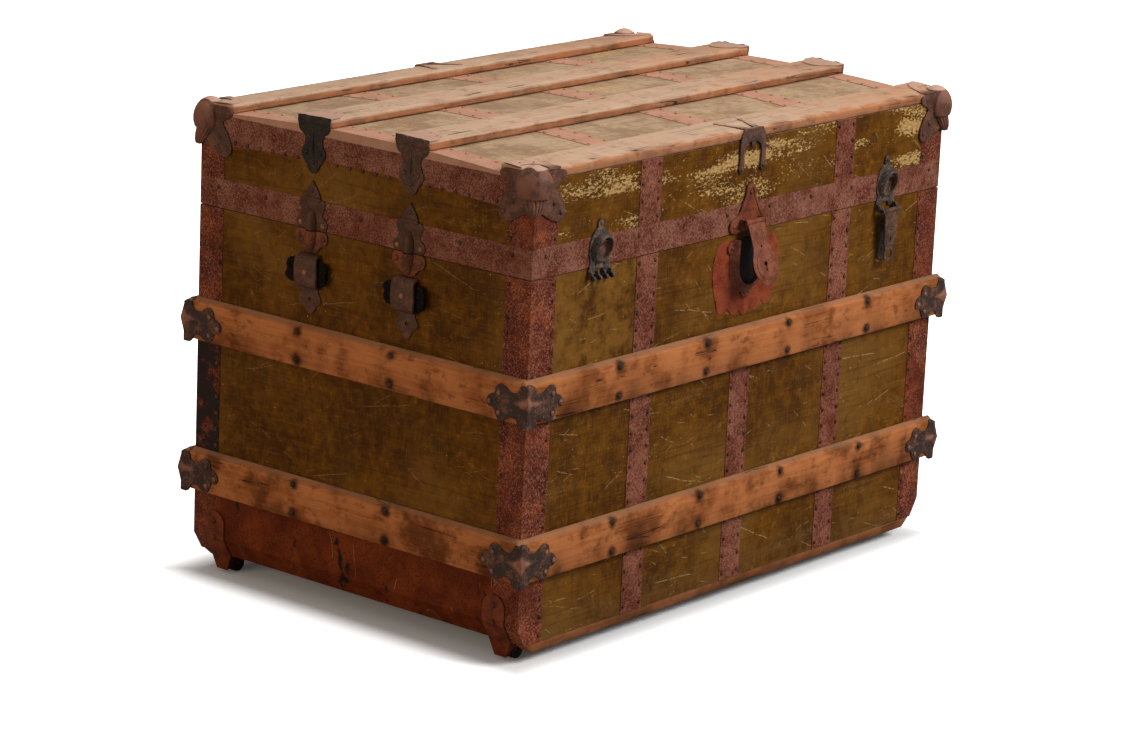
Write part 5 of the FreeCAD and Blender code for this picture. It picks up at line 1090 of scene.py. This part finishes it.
# ---------------------------------------------------------------- hasp and its plate on the lid
# The hasp hangs from a pin in the lid's plate, and carries the lock box on its back. Both are brass-washed
# iron, the plate with a rolled bead round three lobes.
LID_PLATE_HALF = [
    (0, 63), (6, 61.5), (9.8, 56.5), (10, 50), (13.5, 43), (19, 33), (25, 23.5), (32, 20), (39, 17.5),
    (42, 11), (41, 5), (36, 1), (22, 0.4, 1), (0, 0.4, 1),
]
SUNK_HALF = [(0, 46), (3.5, 45), (9, 37), (17, 22), (22, 12), (20, 9, 1), (0, 9, 1)]
HASP_HALF = [
    (0, 3), (17, 3, 1), (17.4, -3), (17.5, -31), (18.5, -38), (21.5, -45), (24.6, -53), (25, -61),
    (22.5, -70), (16.5, -78), (8.5, -84), (0, -85.3),
]
KEYHOLE = [(-1.3, -66, 1), (-1.3, -60), (-3.2, -57), (0, -53.8), (3.2, -57), (1.3, -60), (1.3, -66, 1)]
BEAD_INSIDE_HALF = [
    (0, 57.5), (3.8, 56.5), (5.4, 52), (7, 46), (13, 35), (21, 21.5), (27, 15.5), (34, 13), (36.5, 10),
    (34, 6.5), (20, 5.5, 1), (0, 5.5, 1),
]
RAISED_HALF = [(0, -44), (10, -44), (16, -50), (18.5, -59), (16, -68), (8, -76), (0, -77.5)]
HASP_AXIS, HASP_AJAR = Vector((0, -294, 513)), math.radians(-20)
LUG_X, PIN_Y, PIN_HEIGHT = 19.6, 14.8, 11.2
hasp_iron = fitting_iron("hasp_metal", (0.115, 0.025, 0.008), (0.225, 0.064, 0.030), 0.0, 0.75)
deep_red = fitting_iron("hasp_plate_inside", (0.09, 0.015, 0.004), (0.20, 0.040, 0.010), 0.0, 0.7)

lid_plate = plate("hasp_plate", both_sides(LID_PLATE_HALF), 2.2, 0.8)
bead = plate("hasp_plate_bead", both_sides(LID_PLATE_HALF), 3.4, 1.2, [both_sides(BEAD_INSIDE_HALF)])
lugs = []
for side in (-1, 1):
    lug = turned(f"hasp_lug_{side}", [(0, 0), (3.9, 0), (3.9, 3.2), (0, 3.2)])
    shaped(lug, lambda x, y, z: (z + side * LUG_X - 1.6, y + PIN_Y, PIN_HEIGHT + x))
    lugs.append(lug)
    web = plate(f"hasp_web_{side}", [(-1.6, 0, 1), (1.6, 0, 1), (1.6, 14, 1), (-1.6, 14, 1)], 3.2, 0.3)
    shaped(web, lambda x, y, z: (side * LUG_X + x, PIN_Y - 3.6 + z * 2.2, y * 0.8))
    lugs.append(web)
lid_plate = joined("hasp_lid_plate_shell", lid_plate, bead, *lugs)
lid_plate = riveted("hasp_lid_plate_shell", lid_plate, [(34, 10), (0, 51.5)], 3.3, 2.6)
set_on(lid_plate, (0, -SHEET_Y, LID_EDGE), RIGHT_ON_FRONT)
stand_in(lid_plate, "hasp_lid_plate", "lid", hasp_iron)
sunk = plate("hasp_plate_middle", both_sides(SUNK_HALF), 0.6, 0.2, [
    [(side * 4.5, 26), (side * 6, 27.6), (side * 4.5, 29.2), (side * 3, 27.6)] for side in (-1, 1)])
set_on(sunk, (0, -SHEET_Y - 2.1, LID_EDGE), RIGHT_ON_FRONT)
deep_red.on(sunk)
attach(sunk, "lid")

hasp = plate("hasp_face", both_sides(HASP_HALF), 1.3, 0.5,
             [KEYHOLE, [(-1.5, -33), (0, -31.5), (1.5, -33), (0, -34.5)]])
hasp = creased(hasp, 1, (-4, 0))
raised = plate("hasp_raised", both_sides(RAISED_HALF), 1.2, 0.5, [KEYHOLE])
shaped(raised, lambda x, y, z: (x, y, z + 0.9))
barrel = turned("hasp_barrel", [(0, 0), (3.5, 0), (3.5, 34), (0, 34)])
shaped(barrel, lambda x, y, z: (z - 17, y, x))
hasp = joined("hasp_strap", hasp, raised, barrel)
set_on(hasp, HASP_AXIS, RIGHT_ON_FRONT)
swing = Matrix.Translation(HASP_AXIS * MM) @ Matrix.Rotation(HASP_AJAR, 4, "X")
hasp.data.transform(swing @ Matrix.Translation(-HASP_AXIS * MM))
stand_in(hasp, "hasp", "hasp", hasp_iron)
# The lock box wears the bowl's finish, so where it lies inside the bowl it is painted near black as shade,
# not in its own colour.
stand_in(worn("lock_box", 1.6), "lock_box", "hasp", bowl_iron)
stand_in(worn("lock_bolt", 0.5), "lock_bolt", "lock_bolt", hasp_iron)


# ---------------------------------------------------------------- side latches
# Pressed iron plates on the lid, each with a tilted round hood over its pin, held the latch levers. The
# right lever still hangs over a strip with its hook; of the left one only the broken knuckle is left.
LATCH_X, LATCH_MIDDLE, LATCH_PIN_Y = 305, 519, -34
LATCH_HALF = [
    (0, 40), (3.4, 37), (5.6, 32), (4.8, 28.5), (8.5, 26.5), (14, 21), (18, 13.5), (20.4, 4), (20, -8),
    (18.4, -14), (20, -20), (20.5, -27), (17, -30), (7, -30, 1), (6, -24, 1), (0, -24, 1),
]
LEVER_HALF = [
    (0, 3.4), (16.2, 3.4, 1), (16.2, -4), (14.5, -10), (13.5, -22), (13.5, -40), (12.5, -48), (9.5, -51),
    (10.5, -58), (10.5, -66), (7.5, -69.5), (0, -70),
]
LEVER_RIVET_HOLE = [(0, -25.6), (1.2, -27), (0, -28.4), (-1.2, -27)]
DIAMOND = [(0, -36, 1), (2.4, -40, 1), (0, -44, 1), (-2.4, -40, 1)]
WINDOW = [(-4.6, -64.4), (-4.6, -57.6), (4.6, -57.6), (4.6, -64.4)]
LEVER_AXIS, LEVER_HALF_WIDTH = (LATCH_X, -295, 485), 16.2
HOOD = [
    (0, 0), (19.6, 0), (19, 3.2), (17.2, 6.6), (15.6, 8.8), (14.2, 9.3), (13.2, 8.4), (12.6, 1.8), (0, 1.8),
]
CUP = [(0, 1.6), (12.9, 1.6), (13.4, 7.4), (13.1, 7.7), (12.2, 2.4), (0, 2.4)]
latch_iron = fitting_iron("latch_iron", (0.046, 0.037, 0.032), (0.21, 0.120, 0.072), 0.1, 0.48)
latch_pink = fitting_iron("latch_inside", (0.055, 0.022, 0.013), (0.20, 0.085, 0.055), 0.0, 0.7)


def hood_tilt(y):
    """How many times its drawn height the tilted hood has at y."""
    return 1.05 + 0.035 * y


for side in (-1, 1):
    has_lever = side > 0
    specks = [[(x, -17), (x + 1.4, -18.4), (x, -19.8), (x - 1.4, -18.4)] for x in (-8, 8)]
    back = plate(f"latch_back_{side}", both_sides(LATCH_HALF), 2, 0.6, specks)
    back = riveted(f"latch_back_{side}", back, [(0, 34)], 3, 2)
    hood = turned(f"latch_hood_{side}", HOOD, 36)
    shaped(hood, lambda x, y, z: (x, y * (1.0 + 0.025 * z) if y > 0 else y, z * hood_tilt(y)))
    knuckles = []
    for x in (-18.6, 18.6) if has_lever else (-18.6, -6.2, 6.2, 18.6):
        knuckle = turned(f"latch_knuckle_{side}_{x}", [(0, -1.8), (3.4, -1.8), (3.4, 1.8), (0, 1.8)], 16)
        shaped(knuckle, lambda kx, ky, kz: (x + kz, ky + LATCH_PIN_Y, (11.9 if has_lever else 7.5) + kx))
        tab = [(-1.8, -36, 1), (1.8, -36, 1), (1.8, -26, 1), (-1.8, -26, 1)]
        tab = plate(f"latch_tab_{side}_{x}", tab, 13, 0.3)
        shaped(tab, lambda tx, ty, tz: (
            x + tx, ty, tz * (0.45 if ty > -28 else 1 if has_lever else 0.65)))
        knuckles += [knuckle, tab]
    whole = joined(f"latch_plate_{'right' if has_lever else 'left'}", back, hood, *knuckles)
    set_on(whole, (side * LATCH_X, -SHEET_Y, LATCH_MIDDLE), RIGHT_ON_FRONT)
    stand_in(whole, "latch_plates", "lid", latch_iron)
    cup = turned(f"latch_cup_{side}", CUP, 36)
    shaped(cup, lambda x, y, z: (x, y, z * hood_tilt(y)))
    set_on(cup, (side * LATCH_X, -SHEET_Y, LATCH_MIDDLE), RIGHT_ON_FRONT)
    latch_pink.on(cup)
    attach(cup, "lid")

lever = plate("lever_face", both_sides(LEVER_HALF), 2.2, 0.7, [DIAMOND, WINDOW, LEVER_RIVET_HOLE])
lever = creased(lever, 1, (-47, -50))
shaped(lever, lambda x, y, z: (x, y, z - (0.8 if y < -48.5 else 0)))
curl = turned("lever_barrel", [(0, 0), (3.4, 0), (3.4, 2 * LEVER_HALF_WIDTH), (0, 2 * LEVER_HALF_WIDTH)])
shaped(curl, lambda x, y, z: (z - LEVER_HALF_WIDTH, y, x))
lever = set_on(joined("latch_lever_face", lever, curl), LEVER_AXIS, RIGHT_ON_FRONT)
lever_iron = fitting_iron("lever_rust", (0.050, 0.026, 0.017), (0.19, 0.085, 0.050), 0.0, 0.5)
stand_in(lever, "latch_lever", "latch_lever", lever_iron)
stand_in(worn("latch_catch", 0.8), "latch_catch", "trunk_body", latch_iron)
stand_in(worn("lid_hardware_pins", 0.4), "lid_hardware_pins", "lid", latch_iron)


# ---------------------------------------------------------------- back hinges
# Three strap hinges of rolled iron are riveted to the back. One leaf of each is on the lid and the other
# on the body, and an iron pin joins them.
HINGE_RIVETS, HINGE_FACE, STRAP_PLACES = (-11, 11), 285.3, (-207, 0, 207)
hinge_iron = fitting_iron("hinge_iron", (0.05, 0.025, 0.016), (0.12, 0.048, 0.026))
for node, body, levels in (("body_hinge_leaves", "trunk_body", (452, 474)),
                           ("lid_hinge_leaves", "lid", (521, 543))):
    spots = [((place + x, HINGE_FACE, z), (0, 1, 0))
             for place in STRAP_PLACES for x in HINGE_RIVETS for z in levels]
    leaves = worn(node, 0.6)
    leaves = joined(leaves.name, leaves, heads(f"{node}_rivets", spots, 3.4))
    stand_in(leaves, node, body, hinge_iron)
stand_in(worn("hinge_pins", 0.6), "hinge_pins", "trunk_body", hinge_iron)


# ---------------------------------------------------------------- nails
# Round-headed iron nails hold every sheet-metal edge, about 23 mm apart on the straps and bindings and
# wider apart on the rim band; heavier ones, in pairs, go through the slats.
NAIL_HEAD, SLAT_NAIL_HEAD = 3.0, 3.5
NAIL_PITCH, BAND_PITCH, RIM_PITCH = 23, 22, 95
STRAP_EDGE, BINDINGS_X, BINDINGS_Y, LID_BAND_X = 16, (-391, 391), (-246, 246), 401
BETWEEN_SLATS = ((36, 108), (178, 312), (382, 488))
BETWEEN_LID_SLATS = ((-217, -120), (-46, 46), (120, 217))
RIM_LEVEL, BAND_LEVEL, LID_BINDING_LEVELS = 525, 587, (545, 567)
RIM_END_NAILS = (-250, -165, 0, 165, 250)
RIM_REACH, BAND_REACH, STRAP_LEVELS = 408, 222, (546, 612)
LATCH_ROOM, HINGE_ROOM, DOWEL_ROOM = 44, 22, 24


def row(start, end, pitch):
    """Places from start to end, about a pitch apart."""
    count = max(1, round((end - start) / pitch))
    return [start + (end - start) * i / count + 1.2 * noise.noise(Vector((start, end, i)))
            for i in range(count + 1)]


def clear_of(places, middles, half):
    """The places that lie further than half from each of the middles."""
    return [place for place in places if all(abs(place - middle) > half for middle in middles)]


def on_long_side(side, out, across, levels):
    """Spots on the lock side (-1) or the back (1)."""
    return [((x, side * out, z), (0, side, 0)) for x in across for z in levels]


def on_end(side, out, across, levels):
    """Spots on the left end (-1) or the right one (1)."""
    return [((side * out, y, z), (side, 0, 0)) for y in across for z in levels]


def on_lid(along, across):
    """Spots on the sheet metal of the lid's low crown."""
    return [((x, y, LID_TOP - y * y / LID_CROWN), (0, 0, 1)) for x in along for y in across]


body_nails, lid_nails, slat_nails = [], [], []
strap_edges = [(place - STRAP_EDGE, place + STRAP_EDGE) for place in STRAP_PLACES]
for side in (-1, 1):
    front = side < 0
    for low, high in BETWEEN_SLATS:
        levels = row(low, high, NAIL_PITCH)
        body_nails += on_long_side(side, SHEET_Y, BINDINGS_X, levels)
        for place, edges in zip(STRAP_PLACES, strap_edges):
            if high < 400 or (front and place):
                body_nails += on_long_side(side, SHEET_Y, edges, levels)
        if high > 120:
            body_nails += on_end(side, SHEET_X, BINDINGS_Y, levels)
    hidden, room = ((-LATCH_X, 0, LATCH_X), LATCH_ROOM) if front else (STRAP_PLACES, HINGE_ROOM)
    places = clear_of(row(-RIM_REACH, RIM_REACH, RIM_PITCH), hidden, room)
    lid_nails += on_long_side(side, SHEET_Y, places, (RIM_LEVEL,))
    lid_nails += on_end(side, SHEET_X, RIM_END_NAILS, (RIM_LEVEL,))
    lid_nails += on_long_side(side, SHEET_Y, BINDINGS_X, LID_BINDING_LEVELS)
    lid_nails += on_end(side, SHEET_X, BINDINGS_Y, LID_BINDING_LEVELS)
    places = clear_of(row(-BAND_REACH, BAND_REACH, BAND_PITCH), (DOWEL_MIDDLE, -DOWEL_MIDDLE), DOWEL_ROOM)
    lid_nails += on_end(side, SHEET_X, places, (BAND_LEVEL,))
    for low, high in BETWEEN_LID_SLATS:
        lid_nails += on_lid((side * LID_BAND_X,), row(low, high, BAND_PITCH))
    for place, edges in zip(STRAP_PLACES, strap_edges):
        if place or not front:
            lid_nails += on_long_side(side, SHEET_Y, edges, row(*STRAP_LEVELS, BAND_PITCH))
for edges in strap_edges:
    for x in edges:
        for low, high in BETWEEN_LID_SLATS:
            lid_nails += on_lid((x,), row(low, high, NAIL_PITCH))
for low, _ in SLAT_LEVELS.values():
    for rise in NAIL_ROWS:
        level = ((low + rise) / MM,)
        for side in (-1, 1):
            slat_nails += on_long_side(side, SLAT_Y, [x / MM for x in SLAT_NAILS_FRONT], level)
            slat_nails += on_end(side, SLAT_X, [y / MM for y in SLAT_NAILS_END], level)

nail_iron = rusted_sheet("nail_rust", (0.050, 0.013, 0.006), (0.13, 0.045, 0.022), 0.4)
slat_nail_iron = rusted_sheet("slat_nail_rust", (0.022, 0.012, 0.008), (0.075, 0.034, 0.020), 0.2)
for name, spots, radius, body, iron in (
    ("body_nails", body_nails, NAIL_HEAD, "trunk_body", nail_iron),
    ("lid_nails", lid_nails, NAIL_HEAD, "lid", nail_iron),
    ("slat_nails", slat_nails, SLAT_NAIL_HEAD, "trunk_body", slat_nail_iron),
):
    piece = heads(name, spots, radius)
    iron.on(piece)
    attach(piece, body)
